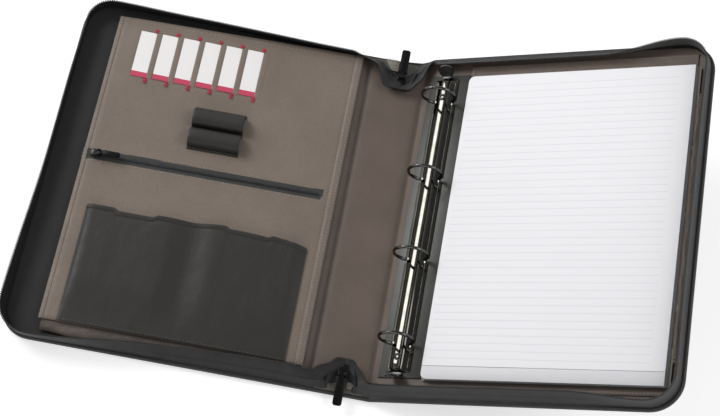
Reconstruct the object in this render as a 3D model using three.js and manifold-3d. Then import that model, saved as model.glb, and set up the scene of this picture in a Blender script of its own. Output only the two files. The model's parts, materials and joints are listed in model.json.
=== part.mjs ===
// Zip-round portfolio case, lying open: the left cover and the spine flat, the right cover raised.
// Millimetres. X runs across the case, Y along the spine, Z up.
// The origin is the middle of the spine's underside.
import * as THREE from 'three';
import { mergeVertices } from 'three/addons/utils/BufferGeometryUtils.js';
import Module from 'manifold-3d';

const wasm = await Module();
wasm.setup();

const { degToRad, clamp, smoothstep, lerp } = THREE.MathUtils;

// ---- Driving dimensions -------------------------------------------------------------------

// Covers and spine. Reach is from a cover's hinge line to its outer edge.
const coverReach = 273;
const coverLength = 342;
const cornerRadius = 28;
const spineWidth = 56;
const rightLift = 25.7;
const skinThickness = 1.2;
const boardThickness = 3;
const liningThickness = 1;
const turnedEdge = 4.5;

// Clearances
const gap = 0.3;
const foldClearance = 0.6;
const cutMargin = 1;

// Zip tape round three sides of each cover. Lean is in degrees from upright.
const tapeThickness = 1.4;
const tapeInset = 1.5;
const tapeHeight = 17;
const teethThickness = 2.4;
const teethHeight = 3;
const teethGap = 0.5;
const leanAtCorner = 18;
const leanAtFront = 30;
const leanAtBack = 48;
const leanAtSide = 45;
const leanEaseLength = 70;
const tapeStart = 14;
const rimSteps = 12;
const cornerSteps = 8;
const tapeRowHeight = 4;

// Folded gussets at the two ends of the spine, and the zip sliders parked in them
const gussetThickness = 1.4;
const gussetHeight = 7;
const gussetFloorHalf = 8;
const gussetMouthHalf = 13;
const backGusset = { end: 1, centre: 4.5, floorFromEnd: 41, mouthFromEnd: 19 };
const frontGusset = { end: -1, centre: 1, floorFromEnd: 31, mouthFromEnd: 10 };
const sliderWidth = 9;
const sliderLength = 14;
const sliderHeight = 4.5;
const sliderTaper = 5;
const sliderTail = { along: 1.5, across: 1 };
const earLength = 4.2;
const earWidth = 1.2;
const earSink = 0.4;
const earFootSink = 0.5;
const knuckleRadius = 1.2;
const neckSlack = 0.2;
const neckReach = 1.2;
const shoulderLength = 1.5;
const tongueChamfer = 1.5;
const pullLength = 28;
const pullWidth = 8;
const pullThickness = 2.2;
const frontPullSlope = 8;

// Organiser on the left cover, inset from the cover's edges
const organiserToOuterEdge = 33.9;
const organiserToEnds = 17.5;
const organiserShift = 1;
const panelThickness = 1.4;
const sleeveHeight = 4.4;
const sleeveWall = 1.4;
const sleeveWallInset = 3;

// Slots for insert cards. The places are from the organiser's outer and back edges.
const cardCount = 6;
const cardWindow = 14.8;
const cardLength = 48;
const cardThickness = 0.4;
const cardTuck = 4;
const cardBar = 1.6;
const lipClearance = 0.5;
const cardSlotClearance = 1;
const cardFrame = 3;
const cardsFromOuterEdge = 23.4;
const cardsFromBackEdge = 12;
const slotPanelThickness = 1.9;
const slotLip = 0.5;

// Pair of pen loops
const loopLength = 47.5;
const loopPitch = 20.5;
const loopBore = 18;
const loopRise = 9;
const loopWall = 1;
const loopFoot = 1.2;
const loopsFromOuterEdge = 90.5;
const loopsFromBackEdge = 102;

// Zipped pocket
const pocketZipLength = 219;
const pocketZipWidth = 11;
const pocketZipTape = 0.8;
const pocketZipFromOuterEdge = 2;
const pocketZipFromBackEdge = 145.5;
const coilWidth = 3.4;
const coilThickness = 1;
const coilEnd = 4;
const pocketSliderParked = 2;
const pocketSlider = { width: 6.5, length: 9, height: 2.4 };
const pocketPull = { width: 5.5, length: 20, thickness: 1.2 };

// Phone pocket and cable pocket
const pocketHeight = 112;
const phonePocketWidth = 98.4;
const cablePocketWidth = 102.4;
const pocketFromInnerEdge = 16;
const pocketWall = 0.8;
const pocketDepth = 4.3;
const pocketSeamWidth = 1.4;
const thumbNotchWidth = 38;
const thumbNotchDepth = 6;
const thumbNotchFromOuter = 48;
const cablePocketCrown = 5;

// Ring mechanism on the right cover, measured from the right hinge line
const ringCount = 4;
const ringPitch = 80;
const ringRadius = 15;
const ringWire = 3;
const ringLine = 25;
const ringFootReach = 8.8;
const ringParting = 0.16;
const basePlateNear = 7;
const basePlateWidth = 39.5;
const basePlateToEnds = 21;
const basePlateThickness = 1;
const railWidth = 23;
const railHeight = 6.5;
const railThickness = 1.2;
const railToPlateEnd = 5;
const bladeToRailEnd = 4;
const railSlotLength = 4.4;
const railSlotNear = 5;
const bladeThickness = 1;
const bladeReach = 8.8;
const bladeClearance = 0.5;
const rivetRadius = 3.3;
const rivetShank = 1.6;
const rivetHeadHeight = 1;
const rivetChamfer = 0.4;
const bladeHoleClearance = 1;
const backRivetToRailEnd = 21.5;
const frontRivetToRailEnd = 12;
const leverWidth = 14;
const leverLength = 13;
const leverThickness = 1.6;
const leverTilt = 25;
const leverStandoff = 3;
const leverRootWidth = 8.4;
const leverRootReach = 2;
const leverRootToe = 0.4;
const leverRootRise = 1.2;
const leverShoulderShare = 0.35;
const leverCrownShare = 0.62;

// Writing pad on the right cover
const padWidth = 210;
const padLength = 297;
const padSheets = 4.4;
const padBacking = 1;
const padTuck = 3.8;
const padNear = 48.6;
const padShift = -3.9;
const bindingLength = 12;
const pocketPanelNear = 47.5;
const pocketPanelThickness = 1;
const pocketPanelToEnds = 12;
const stripLength = 249;
const stripShift = -6.5;
const stripWidth = 2.6;
const stripLip = 0.7;
const stripBevel = 0.6;

// ---- Levels above a cover's hinge axis, which runs in the middle of the skin -----------------

const skinTop = skinThickness / 2;
const boardBase = skinTop + gap;
const liningBase = boardBase + boardThickness + gap;
const liningTop = liningBase + liningThickness;
const foldInset = liningTop + foldClearance;
const fittingBase = liningTop + gap;
const panelBase = liningTop + sleeveHeight;
const panelTop = panelBase + panelThickness;
const panelSeat = panelTop + gap;

// ---- Finishes -----------------------------------------------------------------------------

function finish(color, roughness, metalness = 0) {
  return () => new THREE.MeshStandardMaterial({ color, roughness, metalness });
}

const blackLeather = finish(0x2d2d2d, 0.5);
const greyboard = finish(0x8d877c, 0.9);
const taupeLining = finish(0x787067, 0.75);
const blackLining = finish(0x2a2a2b, 0.8);
const zipTape = finish(0x3b3d3b, 0.75);
const zipTeeth = finish(0x2a2b2a, 0.35, 0.3);
const pocketLeather = finish(0x383734, 0.55);
const blackNickel = finish(0x4a4b4c, 0.22, 0.95);
const blackLever = finish(0x1c1c1d, 0.35);
const basePlateGrey = finish(0x555853, 0.45, 0.5);
const paper = finish(0xf2f2f5, 0.85);
const paperShade = finish(0xd6d6da, 0.85);
const cardWhite = finish(0xf4f2f2, 0.8);

// ---- Shape helpers --------------------------------------------------------------------------

function toSolid(geometry) {
  const bare = geometry.index ? geometry.toNonIndexed() : geometry.clone();
  bare.deleteAttribute('normal');
  bare.deleteAttribute('uv');
  const merged = mergeVertices(bare, 1e-4);
  return new wasm.Manifold(new wasm.Mesh({
    numProp: 3,
    vertProperties: merged.attributes.position.array,
    triVerts: new Uint32Array(merged.index.array),
  }));
}

function fromSolid(solid) {
  const { numProp, vertProperties, triVerts } = solid.getMesh();
  const points = new Float32Array((vertProperties.length / numProp) * 3);
  for (let i = 0; i < points.length / 3; i++) {
    for (let k = 0; k < 3; k++) points[i * 3 + k] = vertProperties[i * numProp + k];
  }
  const geometry = new THREE.BufferGeometry();
  geometry.setAttribute('position', new THREE.BufferAttribute(points, 3));
  geometry.setIndex(new THREE.BufferAttribute(new Uint32Array(triVerts), 1));
  geometry.computeVertexNormals();
  return geometry;
}

function cut(geometry, ...tools) {
  return fromSolid(tools.reduce((solid, tool) => solid.subtract(toSolid(tool)), toSolid(geometry)));
}

function join(geometry, ...others) {
  return fromSolid(others.reduce((solid, other) => solid.add(toSolid(other)), toSolid(geometry)));
}

function block(x0, x1, y0, y1, z0, z1) {
  const box = new THREE.BoxGeometry(x1 - x0, y1 - y0, z1 - z0);
  return box.translate((x0 + x1) / 2, (y0 + y1) / 2, (z0 + z1) / 2);
}

function slab(points, base, thickness) {
  const shape = points instanceof THREE.Shape ? points : new THREE.Shape(points);
  const plate = new THREE.ExtrudeGeometry(shape, {
    depth: thickness,
    bevelEnabled: false,
    curveSegments: 8,
  });
  return plate.translate(0, 0, base);
}

// Extrudes an outline drawn in a plane across the spine (x, height) along Y.
function alongSpine(points, y0, y1) {
  const shape = points instanceof THREE.Shape ? points : new THREE.Shape(points);
  const bar = new THREE.ExtrudeGeometry(shape, {
    depth: y1 - y0,
    bevelEnabled: false,
    curveSegments: 10,
  });
  return bar.rotateX(Math.PI / 2).translate(0, y1, 0);
}

// Extrudes an outline drawn in a plane along the spine (y, height) along X.
function acrossSpine(points, x0, x1) {
  const bar = new THREE.ExtrudeGeometry(new THREE.Shape(points), {
    depth: x1 - x0,
    bevelEnabled: false,
  });
  return bar.applyMatrix4(new THREE.Matrix4().set(
    0, 0, 1, x0,
    1, 0, 0, 0,
    0, 1, 0, 0,
    0, 0, 0, 1,
  ));
}

function arc(centreX, centreY, radiusX, radiusY, from, to, steps) {
  const points = [];
  for (let i = 0; i <= steps; i++) {
    const angle = degToRad(lerp(from, to, i / steps));
    points.push(new THREE.Vector2(
      centreX + radiusX * Math.cos(angle),
      centreY + radiusY * Math.sin(angle),
    ));
  }
  return points;
}

function part(name, geometry, material) {
  const mesh = new THREE.Mesh(geometry, material());
  mesh.name = name;
  return mesh;
}

// ---- Covers -----------------------------------------------------------------------------------
// A cover is drawn with X running outwards from its hinge line, and with its own height as Z.

const coreX = coverReach - cornerRadius;
const coreY = coverLength / 2 - cornerRadius;

function coverPlate(near, inset, base, thickness) {
  const outer = coverReach - inset;
  const half = coverLength / 2 - inset;
  const radius = cornerRadius - inset;
  const outline = [
    new THREE.Vector2(near, -half),
    ...arc(outer - radius, -half + radius, radius, radius, -90, 0, 10),
    ...arc(outer - radius, half - radius, radius, radius, 0, 90, 10),
    new THREE.Vector2(near, half),
  ];
  return slab(outline, base, thickness);
}

// The line that the zip tape follows, from the spine round both corners and back to the spine.
function rimLine(inset) {
  const outer = coverReach - inset;
  const half = coverLength / 2 - inset;
  const radius = cornerRadius - inset;
  const points = [];
  for (let i = 0; i < rimSteps; i++) {
    points.push(new THREE.Vector2(lerp(tapeStart, coreX, i / rimSteps), -half));
  }
  points.push(...arc(outer - radius, -half + radius, radius, radius, -90, 0, cornerSteps));
  for (let i = 1; i < rimSteps; i++) {
    points.push(new THREE.Vector2(outer, lerp(-coreY, coreY, i / rimSteps)));
  }
  points.push(...arc(outer - radius, half - radius, radius, radius, 0, 90, cornerSteps));
  for (let i = 1; i <= rimSteps; i++) {
    points.push(new THREE.Vector2(lerp(coreX, tapeStart, i / rimSteps), half));
  }
  return points;
}

// How far the tape leans in at a point of the rim, in radians.
function leanAt(x, y, frontSign) {
  const onOuterSide = x > coreX;
  const fromCorner = Math.max(coreY - Math.abs(y), coreX - x, 0);
  const alongSide = y * frontSign > 0 ? leanAtFront : leanAtBack;
  const full = onOuterSide ? leanAtSide : alongSide;
  return degToRad(lerp(leanAtCorner, full, smoothstep(fromCorner, 0, leanEaseLength)));
}

// A wall on the rim between two heights, measured along the tape, which leans in above the lining.
// It is a bar bent round the rim: its length, thickness and height become path, inset and height.
function rimWall(inset, thickness, from, to, frontSign) {
  const faces = [rimLine(inset), rimLine(inset + thickness)];
  const lengths = faces[0].length - 1;
  const rows = Math.max(1, Math.round((to - from) / tapeRowHeight));
  const wall = new THREE.BoxGeometry(1, 1, 1, lengths, 1, rows);
  const place = wall.attributes.position;
  for (let i = 0; i < place.count; i++) {
    const face = faces[place.getY(i) < 0 ? 0 : 1];
    const { x, y } = face[Math.round((place.getX(i) + 0.5) * lengths)];
    const height = lerp(from, to, place.getZ(i) + 0.5);
    const rise = Math.max(0, height - fittingBase);
    const core = new THREE.Vector2(Math.min(x, coreX), clamp(y, -coreY, coreY));
    const outward = new THREE.Vector2(x, y).sub(core).normalize();
    const lean = leanAt(x, y, frontSign);
    place.setXYZ(
      i,
      x - outward.x * rise * Math.sin(lean),
      y - outward.y * rise * Math.sin(lean),
      height - rise + rise * Math.cos(lean),
    );
  }
  return wall;
}

function cover(side, frontSign, liningFinish) {
  const shell = new THREE.Group();
  const teethInset = tapeInset + (tapeThickness - teethThickness) / 2;
  const teethBase = tapeHeight + teethGap;
  shell.add(
    part(`${side}_cover_skin`,
      coverPlate(skinThickness / 2 + gap, 0, -skinTop, skinThickness), blackLeather),
    part(`${side}_cover_board`,
      coverPlate(foldInset, turnedEdge, boardBase, boardThickness), greyboard),
    part(`${side}_cover_lining`,
      coverPlate(foldInset, turnedEdge, liningBase, liningThickness), liningFinish),
    part(`${side}_zip_tape`,
      rimWall(tapeInset, tapeThickness, boardBase, tapeHeight, frontSign), zipTape),
    part(`${side}_zip_teeth`,
      rimWall(teethInset, teethThickness, teethBase, teethBase + teethHeight, frontSign),
      zipTeeth),
  );
  return shell;
}

// ---- Spine --------------------------------------------------------------------------------

function spinePlate(base, thickness) {
  const halfWidth = spineWidth / 2 - foldInset;
  const halfLength = coverLength / 2 - turnedEdge;
  return block(-halfWidth, halfWidth, -halfLength, halfLength, base, base + thickness);
}

// The spine's skin has rolled edges, centred on the two hinge lines.
function spineSkin() {
  const half = spineWidth / 2;
  const profile = [
    ...arc(half, 0, skinTop, skinTop, -90, 90, 8),
    ...arc(-half, 0, skinTop, skinTop, 90, 270, 8),
  ];
  return alongSpine(profile, -coverLength / 2, coverLength / 2);
}

// A gusset is folded in to a trough that opens towards the spine's end.
function gussetWall({ end, centre, floorFromEnd, mouthFromEnd }) {
  const floorY = coverLength / 2 - floorFromEnd;
  const mouthY = coverLength / 2 - mouthFromEnd;
  const outline = [
    [-gussetMouthHalf, mouthY],
    [-gussetFloorHalf, floorY],
    [gussetFloorHalf, floorY],
    [gussetMouthHalf, mouthY],
    [gussetMouthHalf - gussetThickness, mouthY],
    [gussetFloorHalf - gussetThickness, floorY + gussetThickness],
    [-gussetFloorHalf + gussetThickness, floorY + gussetThickness],
    [-gussetMouthHalf + gussetThickness, mouthY],
  ];
  const points = outline.map(([x, y]) => new THREE.Vector2(centre + x, end * y));
  return slab(points, fittingBase, gussetHeight);
}

// A zip slider lies along X with its nose towards +X. The pull's hinge is near the nose.
const earRadius = earLength / 2;
const hingeFromNose = earRadius;
const hingeAboveBody = earRadius - earSink;

function sliderBody(width, length, height) {
  const nose = length / 2;
  const outline = [
    [-nose, -width / 2 + sliderTail.across],
    [-nose + sliderTail.along, -width / 2],
    [nose - sliderTaper, -width / 2],
    [nose, -width / 3],
    [nose, width / 3],
    [nose - sliderTaper, width / 2],
    [-nose + sliderTail.along, width / 2],
    [-nose, width / 2 - sliderTail.across],
  ].map(([x, y]) => new THREE.Vector2(x, y));
  const ears = [-1, 1].map((side) => {
    const middle = side * (width / 4 + earWidth / 2);
    const ear = new THREE.CylinderGeometry(earRadius, earRadius, earWidth, 12);
    ear.translate(nose - hingeFromNose, middle, height + hingeAboveBody);
    const foot = block(nose - earLength, nose, middle - earWidth / 2, middle + earWidth / 2,
      height - earFootSink, height + hingeAboveBody);
    return [ear, foot];
  });
  return join(slab(outline, 0, height), ...ears.flat());
}

// A pull hangs from the slider's ears: a knuckle between them and a rounded tongue.
function pullTongue(width, sliderWide, length, thickness) {
  const knuckleHalf = sliderWide / 4 - gap;
  const neckHalf = knuckleHalf - neckSlack;
  const neckEnd = earRadius + neckReach;
  const tip = tongueChamfer;
  const outline = [
    [0, -neckHalf],
    [neckEnd, -neckHalf],
    [neckEnd + shoulderLength, -width / 2],
    [length - tip, -width / 2],
    [length, -width / 2 + tip],
    [length, width / 2 - tip],
    [length - tip, width / 2],
    [neckEnd + shoulderLength, width / 2],
    [neckEnd, neckHalf],
    [0, neckHalf],
  ].map(([x, y]) => new THREE.Vector2(x, y));
  const knuckle = new THREE.CylinderGeometry(knuckleRadius, knuckleRadius, 2 * knuckleHalf, 12);
  return join(slab(outline, -thickness / 2, thickness), knuckle);
}

// A slider with its pull, the nose at `nose` and pointing along `heading` degrees from +X.
function sliderWithPull(names, { nose, heading, drop, size, pull }) {
  const set = new THREE.Group();
  set.position.copy(nose);
  set.rotation.z = degToRad(heading);
  const body = part(names.slider,
    sliderBody(size.width, size.length, size.height), blackNickel);
  body.position.x = -size.length / 2;
  const tongue = part(names.pull,
    pullTongue(pull.width, size.width, pull.length, pull.thickness), blackNickel);
  tongue.position.set(-hingeFromNose, 0, size.height + hingeAboveBody);
  tongue.rotation.y = degToRad(drop);
  set.add(body, tongue);
  return set;
}

function endOfSpine(name, gusset, drop) {
  const { end, centre, floorFromEnd } = gusset;
  const floorY = coverLength / 2 - floorFromEnd;
  const nose = end * (floorY + gussetThickness + gap + sliderLength);
  const set = new THREE.Group();
  set.add(
    part(`spine_gusset_${name}`, gussetWall(gusset), zipTape),
    sliderWithPull(
      { slider: `zip_slider_${name}`, pull: `zip_pull_${name}` },
      {
        nose: new THREE.Vector3(centre, nose, fittingBase),
        heading: end * 90,
        drop,
        size: { width: sliderWidth, length: sliderLength, height: sliderHeight },
        pull: { width: pullWidth, length: pullLength, thickness: pullThickness },
      },
    ),
  );
  return set;
}

function spine() {
  const set = new THREE.Group();
  set.add(
    part('spine_skin', spineSkin(), blackLeather),
    part('spine_board', spinePlate(boardBase, boardThickness), greyboard),
    part('spine_lining', spinePlate(liningBase, liningThickness), taupeLining),
    endOfSpine('back', backGusset, 0),
    endOfSpine('front', frontGusset, frontPullSlope),
  );
  return set;
}

// ---- Organiser --------------------------------------------------------------------------------
// Drawn from the left hinge line, so X is negative. Edges are named as they lie in the open case.

const organiserInner = -foldInset - gap;
const organiserOuter = organiserToOuterEdge - coverReach;
const organiserHalf = coverLength / 2 - organiserToEnds;
const organiserFront = organiserShift - organiserHalf;
const organiserBack = organiserShift + organiserHalf;

function sleeveWalls() {
  const outer = organiserOuter + sleeveWallInset;
  const inner = organiserInner - sleeveWallInset;
  const front = organiserFront + sleeveWallInset;
  const back = organiserBack - sleeveWallInset;
  const outline = [
    [outer, front],
    [inner, front],
    [inner, back],
    [outer, back],
    [outer, back - sleeveWall],
    [inner - sleeveWall, back - sleeveWall],
    [inner - sleeveWall, front + sleeveWall],
    [outer, front + sleeveWall],
  ].map(([x, y]) => new THREE.Vector2(x, y));
  return slab(outline, fittingBase, panelBase - gap - fittingBase);
}

const cardPitch = cardWindow + cardTuck + cardBar;
const cardsLeft = organiserOuter + cardsFromOuterEdge;
const cardsBack = organiserBack - cardsFromBackEdge;
const cardsFront = cardsBack - cardLength;

// A raised panel with a window for each card. The bar to the right of a window is a lip,
// open beneath, and a card's edge is tucked under it.
function cardSlotPanel() {
  const right = cardsLeft + cardCount * cardPitch;
  const margin = cardSlotClearance + cardFrame;
  const panel = block(cardsLeft - cardFrame, right, cardsFront - margin, cardsBack + margin,
    panelSeat, panelSeat + slotPanelThickness);
  const cuts = [];
  for (let i = 0; i < cardCount; i++) {
    const left = cardsLeft + i * cardPitch;
    const y0 = cardsFront - cardSlotClearance;
    const y1 = cardsBack + cardSlotClearance;
    const lipBase = panelSeat + slotPanelThickness - slotLip;
    cuts.push(block(left, left + cardWindow, y0, y1,
      panelSeat - cutMargin, panelSeat + slotPanelThickness + cutMargin));
    cuts.push(block(left + cardWindow - cutMargin,
      left + cardWindow + cardTuck + lipClearance, y0, y1, panelSeat - cutMargin, lipBase));
  }
  return cut(panel, ...cuts);
}

// Cards lean on the frame at their left, so they slide out over it.
function insertCard(index) {
  const width = cardWindow + cardTuck;
  const tilt = Math.asin((slotPanelThickness + gap) / width);
  const card = part(`insert_card_${index + 1}`,
    block(-width, 0, cardsFront, cardsBack, 0, cardThickness), cardWhite);
  card.position.set(
    cardsLeft + index * cardPitch + width,
    0,
    panelSeat + gap / 2,
  );
  card.rotation.y = tilt;
  return card;
}

// Two loops in one folded strip: feet and arches in a plane along the spine.
function penLoops() {
  const right = organiserOuter + loopsFromOuterEdge + loopLength;
  const middle = organiserBack - loopsFromBackEdge;
  const outer = [];
  const inner = [];
  for (const place of [-0.5, 0.5]) {
    const centre = middle + place * loopPitch;
    outer.push(...arc(centre, panelSeat, loopBore / 2 + loopWall, loopRise + loopWall, 180, 0, 14));
    inner.push(...arc(centre, panelSeat, loopBore / 2, loopRise, 180, 0, 14));
  }
  const half = loopPitch / 2 + loopBore / 2 + loopWall + loopFoot;
  const wall = [
    new THREE.Vector2(middle - half, panelSeat),
    new THREE.Vector2(middle - half, panelSeat + loopWall),
    ...lifted(outer, loopWall),
    new THREE.Vector2(middle + half, panelSeat + loopWall),
    new THREE.Vector2(middle + half, panelSeat),
    ...inner.reverse(),
  ];
  return acrossSpine(wall, right - loopLength, right);
}

// Keeps an arch's ends at the top of the strip's feet.
function lifted(points, height) {
  return points.filter((point) => point.y > panelSeat + height);
}

const pocketZipLeft = organiserOuter + pocketZipFromOuterEdge;
const pocketZipY = organiserBack - pocketZipFromBackEdge;
const coilBase = panelSeat + pocketZipTape + gap;
const coilTop = coilBase + coilThickness + gap;

function zippedPocket() {
  const set = new THREE.Group();
  const right = pocketZipLeft + pocketZipLength;
  const half = pocketZipWidth / 2;
  set.add(
    part('pocket_zip_tape',
      block(pocketZipLeft, right, pocketZipY - half, pocketZipY + half,
        panelSeat, panelSeat + pocketZipTape), zipTape),
    part('pocket_zip_coil',
      block(pocketZipLeft + coilEnd, right - coilEnd,
        pocketZipY - coilWidth / 2, pocketZipY + coilWidth / 2,
        coilBase, coilBase + coilThickness), zipTeeth),
    sliderWithPull(
      { slider: 'pocket_zip_slider', pull: 'pocket_zip_pull' },
      {
        nose: new THREE.Vector3(pocketZipLeft + coilEnd + pocketSliderParked + pocketSlider.length,
          pocketZipY, coilTop),
        heading: 0,
        drop: 0,
        size: pocketSlider,
        pull: pocketPull,
      },
    ),
  );
  return set;
}

// A patch pocket: a front wall on three low side walls, open towards the back.
function patchPocket(left, right, mouth) {
  const front = organiserFront + gap;
  const top = panelSeat + pocketDepth + pocketWall;
  const outline = [
    new THREE.Vector2(left, front),
    new THREE.Vector2(right, front),
    ...mouth,
  ];
  const inside = block(left + pocketSeamWidth, right - pocketSeamWidth,
    front + pocketSeamWidth, front + 2 * pocketHeight,
    panelSeat - cutMargin, panelSeat + pocketDepth);
  return cut(slab(outline, panelSeat, top - panelSeat), inside);
}

const pocketRight = organiserInner - pocketFromInnerEdge;
const pocketSeam = pocketRight - cablePocketWidth;
const pocketMouth = organiserFront + pocketHeight;

function cablePocket() {
  const middle = (pocketRight + pocketSeam) / 2;
  const mouth = new THREE.QuadraticBezierCurve(
    new THREE.Vector2(pocketRight, pocketMouth - cablePocketCrown),
    new THREE.Vector2(middle, pocketMouth + cablePocketCrown),
    new THREE.Vector2(pocketSeam + gap, pocketMouth),
  );
  return patchPocket(pocketSeam + gap, pocketRight, mouth.getPoints(10));
}

function phonePocket() {
  const left = pocketSeam - phonePocketWidth;
  const notch = left + thumbNotchFromOuter;
  const half = thumbNotchWidth / 2;
  const mouth = [
    new THREE.Vector2(pocketSeam, pocketMouth),
    ...arc(notch, pocketMouth, half, thumbNotchDepth, 0, -180, 12),
    new THREE.Vector2(left, pocketMouth),
  ];
  return patchPocket(left, pocketSeam, mouth);
}

function organiser() {
  const set = new THREE.Group();
  set.add(
    part('organiser_gusset', sleeveWalls(), taupeLining),
    part('organiser_panel',
      block(organiserOuter, organiserInner, organiserFront, organiserBack,
        panelBase, panelTop), taupeLining),
    part('card_slot_panel', cardSlotPanel(), taupeLining),
    part('pen_loops', penLoops(), pocketLeather),
    zippedPocket(),
    part('cable_pocket', cablePocket(), pocketLeather),
    part('phone_pocket', phonePocket(), pocketLeather),
  );
  for (let i = 0; i < cardCount; i++) set.add(insertCard(i));
  return set;
}

// ---- Ring mechanism ---------------------------------------------------------------------------

// How far a cut ring end reaches below the middle of its wire, as a share of the wire.
const ringFootSlope = 0.42;

const plateTop = fittingBase + basePlateThickness;
const railBase = plateTop + gap;
const plateHalf = coverLength / 2 - basePlateToEnds;
const railHalf = plateHalf - railToPlateEnd;
const rivetPlaces = {
  back: railHalf - backRivetToRailEnd,
  front: frontRivetToRailEnd - railHalf,
};
const bladeBase = railBase + bladeClearance;
const bladeTop = bladeBase + bladeThickness;

function rivetHoles(radius, height) {
  return Object.values(rivetPlaces).map((y) => {
    const hole = new THREE.CylinderGeometry(radius, radius, 2 * railHeight, 16);
    return hole.rotateX(Math.PI / 2).translate(ringLine, y, height);
  });
}

function railArch() {
  const outer = arc(ringLine, railBase, railWidth / 2, railHeight, 0, 180, 16);
  const inner = arc(ringLine, railBase, railWidth / 2 - railThickness,
    railHeight - railThickness, 180, 0, 16);
  const rail = alongSpine([...outer, ...inner], -railHalf, railHalf);
  const slots = [];
  for (let i = 0; i < ringCount; i++) {
    const y = ringY(i);
    for (const side of [-1, 1]) {
      const far = ringLine + side * (railWidth / 2 + cutMargin);
      const near = ringLine + side * railSlotNear;
      slots.push(block(Math.min(far, near), Math.max(far, near),
        y - railSlotLength / 2, y + railSlotLength / 2,
        railBase + bladeClearance, railBase + railHeight + cutMargin));
    }
  }
  return cut(rail, ...slots, ...rivetHoles(rivetShank + gap, railBase + railHeight));
}

function ringY(index) {
  return (index - (ringCount - 1) / 2) * ringPitch;
}

// Half of a ring: wire from its blade up to the top, where the two halves meet.
function halfRing(side) {
  const endAngle = Math.PI / 2 - ringParting / ringRadius;
  const foot = Math.acos(ringFootReach / ringRadius);
  const centreHeight = bladeTop + gap + ringWire * ringFootSlope + ringRadius * Math.sin(foot);
  class RingArc extends THREE.Curve {
    getPoint(t, target = new THREE.Vector3()) {
      const angle = lerp(-foot, endAngle, t);
      return target.set(side * ringRadius * Math.cos(angle), 0, ringRadius * Math.sin(angle));
    }
  }
  const section = new THREE.Shape(arc(0, 0, ringWire / 2, ringWire / 2, 0, 315, 7));
  const wire = new THREE.ExtrudeGeometry(section, {
    steps: 14,
    extrudePath: new RingArc(),
    bevelEnabled: false,
  });
  return wire.translate(ringLine, 0, centreHeight);
}

function blade(side) {
  const near = ringLine + side * gap;
  const far = ringLine + side * bladeReach;
  const half = railHalf - bladeToRailEnd;
  const plate = block(Math.min(near, far), Math.max(near, far), -half, half,
    bladeBase, bladeBase + bladeThickness);
  return cut(plate, ...rivetHoles(rivetShank + bladeHoleClearance, bladeBase));
}

function rivet() {
  const head = railBase + railHeight + gap;
  const profile = [
    new THREE.Vector2(0, plateTop + gap),
    new THREE.Vector2(rivetShank, plateTop + gap),
    new THREE.Vector2(rivetShank, head),
    new THREE.Vector2(rivetRadius, head),
    new THREE.Vector2(rivetRadius - rivetChamfer, head + rivetHeadHeight - rivetChamfer),
    new THREE.Vector2(0, head + rivetHeadHeight),
  ];
  return new THREE.LatheGeometry(profile, 16).rotateX(Math.PI / 2);
}

// A lever is a bent tab that stands on the base plate past the rail's end and leans outwards.
// Its axis is at the height of the blades' top.
function lever() {
  const half = leverWidth / 2;
  const rootHalf = leverRootWidth / 2;
  const rootDepth = bladeTop - plateTop - gap;
  const root = block(-rootHalf, rootHalf, -leverRootReach, leverRootToe, -rootDepth, leverRootRise);
  const shoulder = leverLength * leverShoulderShare;
  const crown = leverLength * leverCrownShare;
  const tab = slab([
    new THREE.Vector2(-rootHalf, 0),
    new THREE.Vector2(rootHalf, 0),
    new THREE.Vector2(half, shoulder),
    ...arc(0, crown, half, leverLength - crown, 0, 180, 10),
    new THREE.Vector2(-half, shoulder),
  ], -leverThickness / 2, leverThickness);
  tab.rotateX(Math.PI / 2 - degToRad(leverTilt));
  return join(tab, root);
}

function ringMechanism() {
  const set = new THREE.Group();
  set.add(
    part('ring_base_plate',
      block(basePlateNear, basePlateNear + basePlateWidth, -plateHalf, plateHalf,
        fittingBase, plateTop), basePlateGrey),
    part('ring_rail', railArch(), blackNickel),
    part('ring_blade_left', blade(-1), blackNickel),
    part('ring_blade_right', blade(1), blackNickel),
  );
  for (let i = 0; i < ringCount; i++) {
    for (const [name, side] of [['left', -1], ['right', 1]]) {
      const half = part(`ring_${i + 1}_${name}_half`, halfRing(side), blackNickel);
      half.position.y = ringY(i);
      set.add(half);
    }
  }
  for (const [name, y] of Object.entries(rivetPlaces)) {
    const pin = part(`rail_rivet_${name}`, rivet(), blackNickel);
    pin.position.set(ringLine, y, 0);
    set.add(pin);
  }
  for (const [name, end] of [['back', 1], ['front', -1]]) {
    const tab = part(`ring_lever_${name}`, lever(), blackLever);
    tab.position.set(ringLine, end * (railHalf + leverStandoff), bladeTop);
    tab.rotation.z = end > 0 ? 0 : Math.PI;
    set.add(tab);
  }
  return set;
}

// ---- Writing pad ------------------------------------------------------------------------------

const padFar = padNear + padWidth;
const padFront = padShift - padLength / 2;
const padBack = padShift + padLength / 2;
const backingBase = fittingBase + pocketPanelThickness + gap;
const backingTop = backingBase + padBacking;
const sheetBase = backingTop + gap;
const stripNear = padFar + gap;
const stripFoot = padFar + padTuck + gap;

function pocketPanel() {
  const half = coverLength / 2 - pocketPanelToEnds;
  return block(pocketPanelNear, padFar, -half, half, fittingBase,
    fittingBase + pocketPanelThickness);
}

// The strip holds the pad's backing: a foot on the lining, and a lip over the backing's edge.
function retainingStrip() {
  const lipBase = backingTop + gap;
  const profile = [
    [stripFoot, fittingBase],
    [stripFoot + stripWidth, fittingBase],
    [stripFoot + stripWidth - stripBevel, lipBase + stripLip],
    [stripNear, lipBase + stripLip],
    [stripNear, lipBase],
    [stripFoot, lipBase],
  ].map(([x, z]) => new THREE.Vector2(x, z));
  return alongSpine(profile, stripShift - stripLength / 2, stripShift + stripLength / 2);
}

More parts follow.
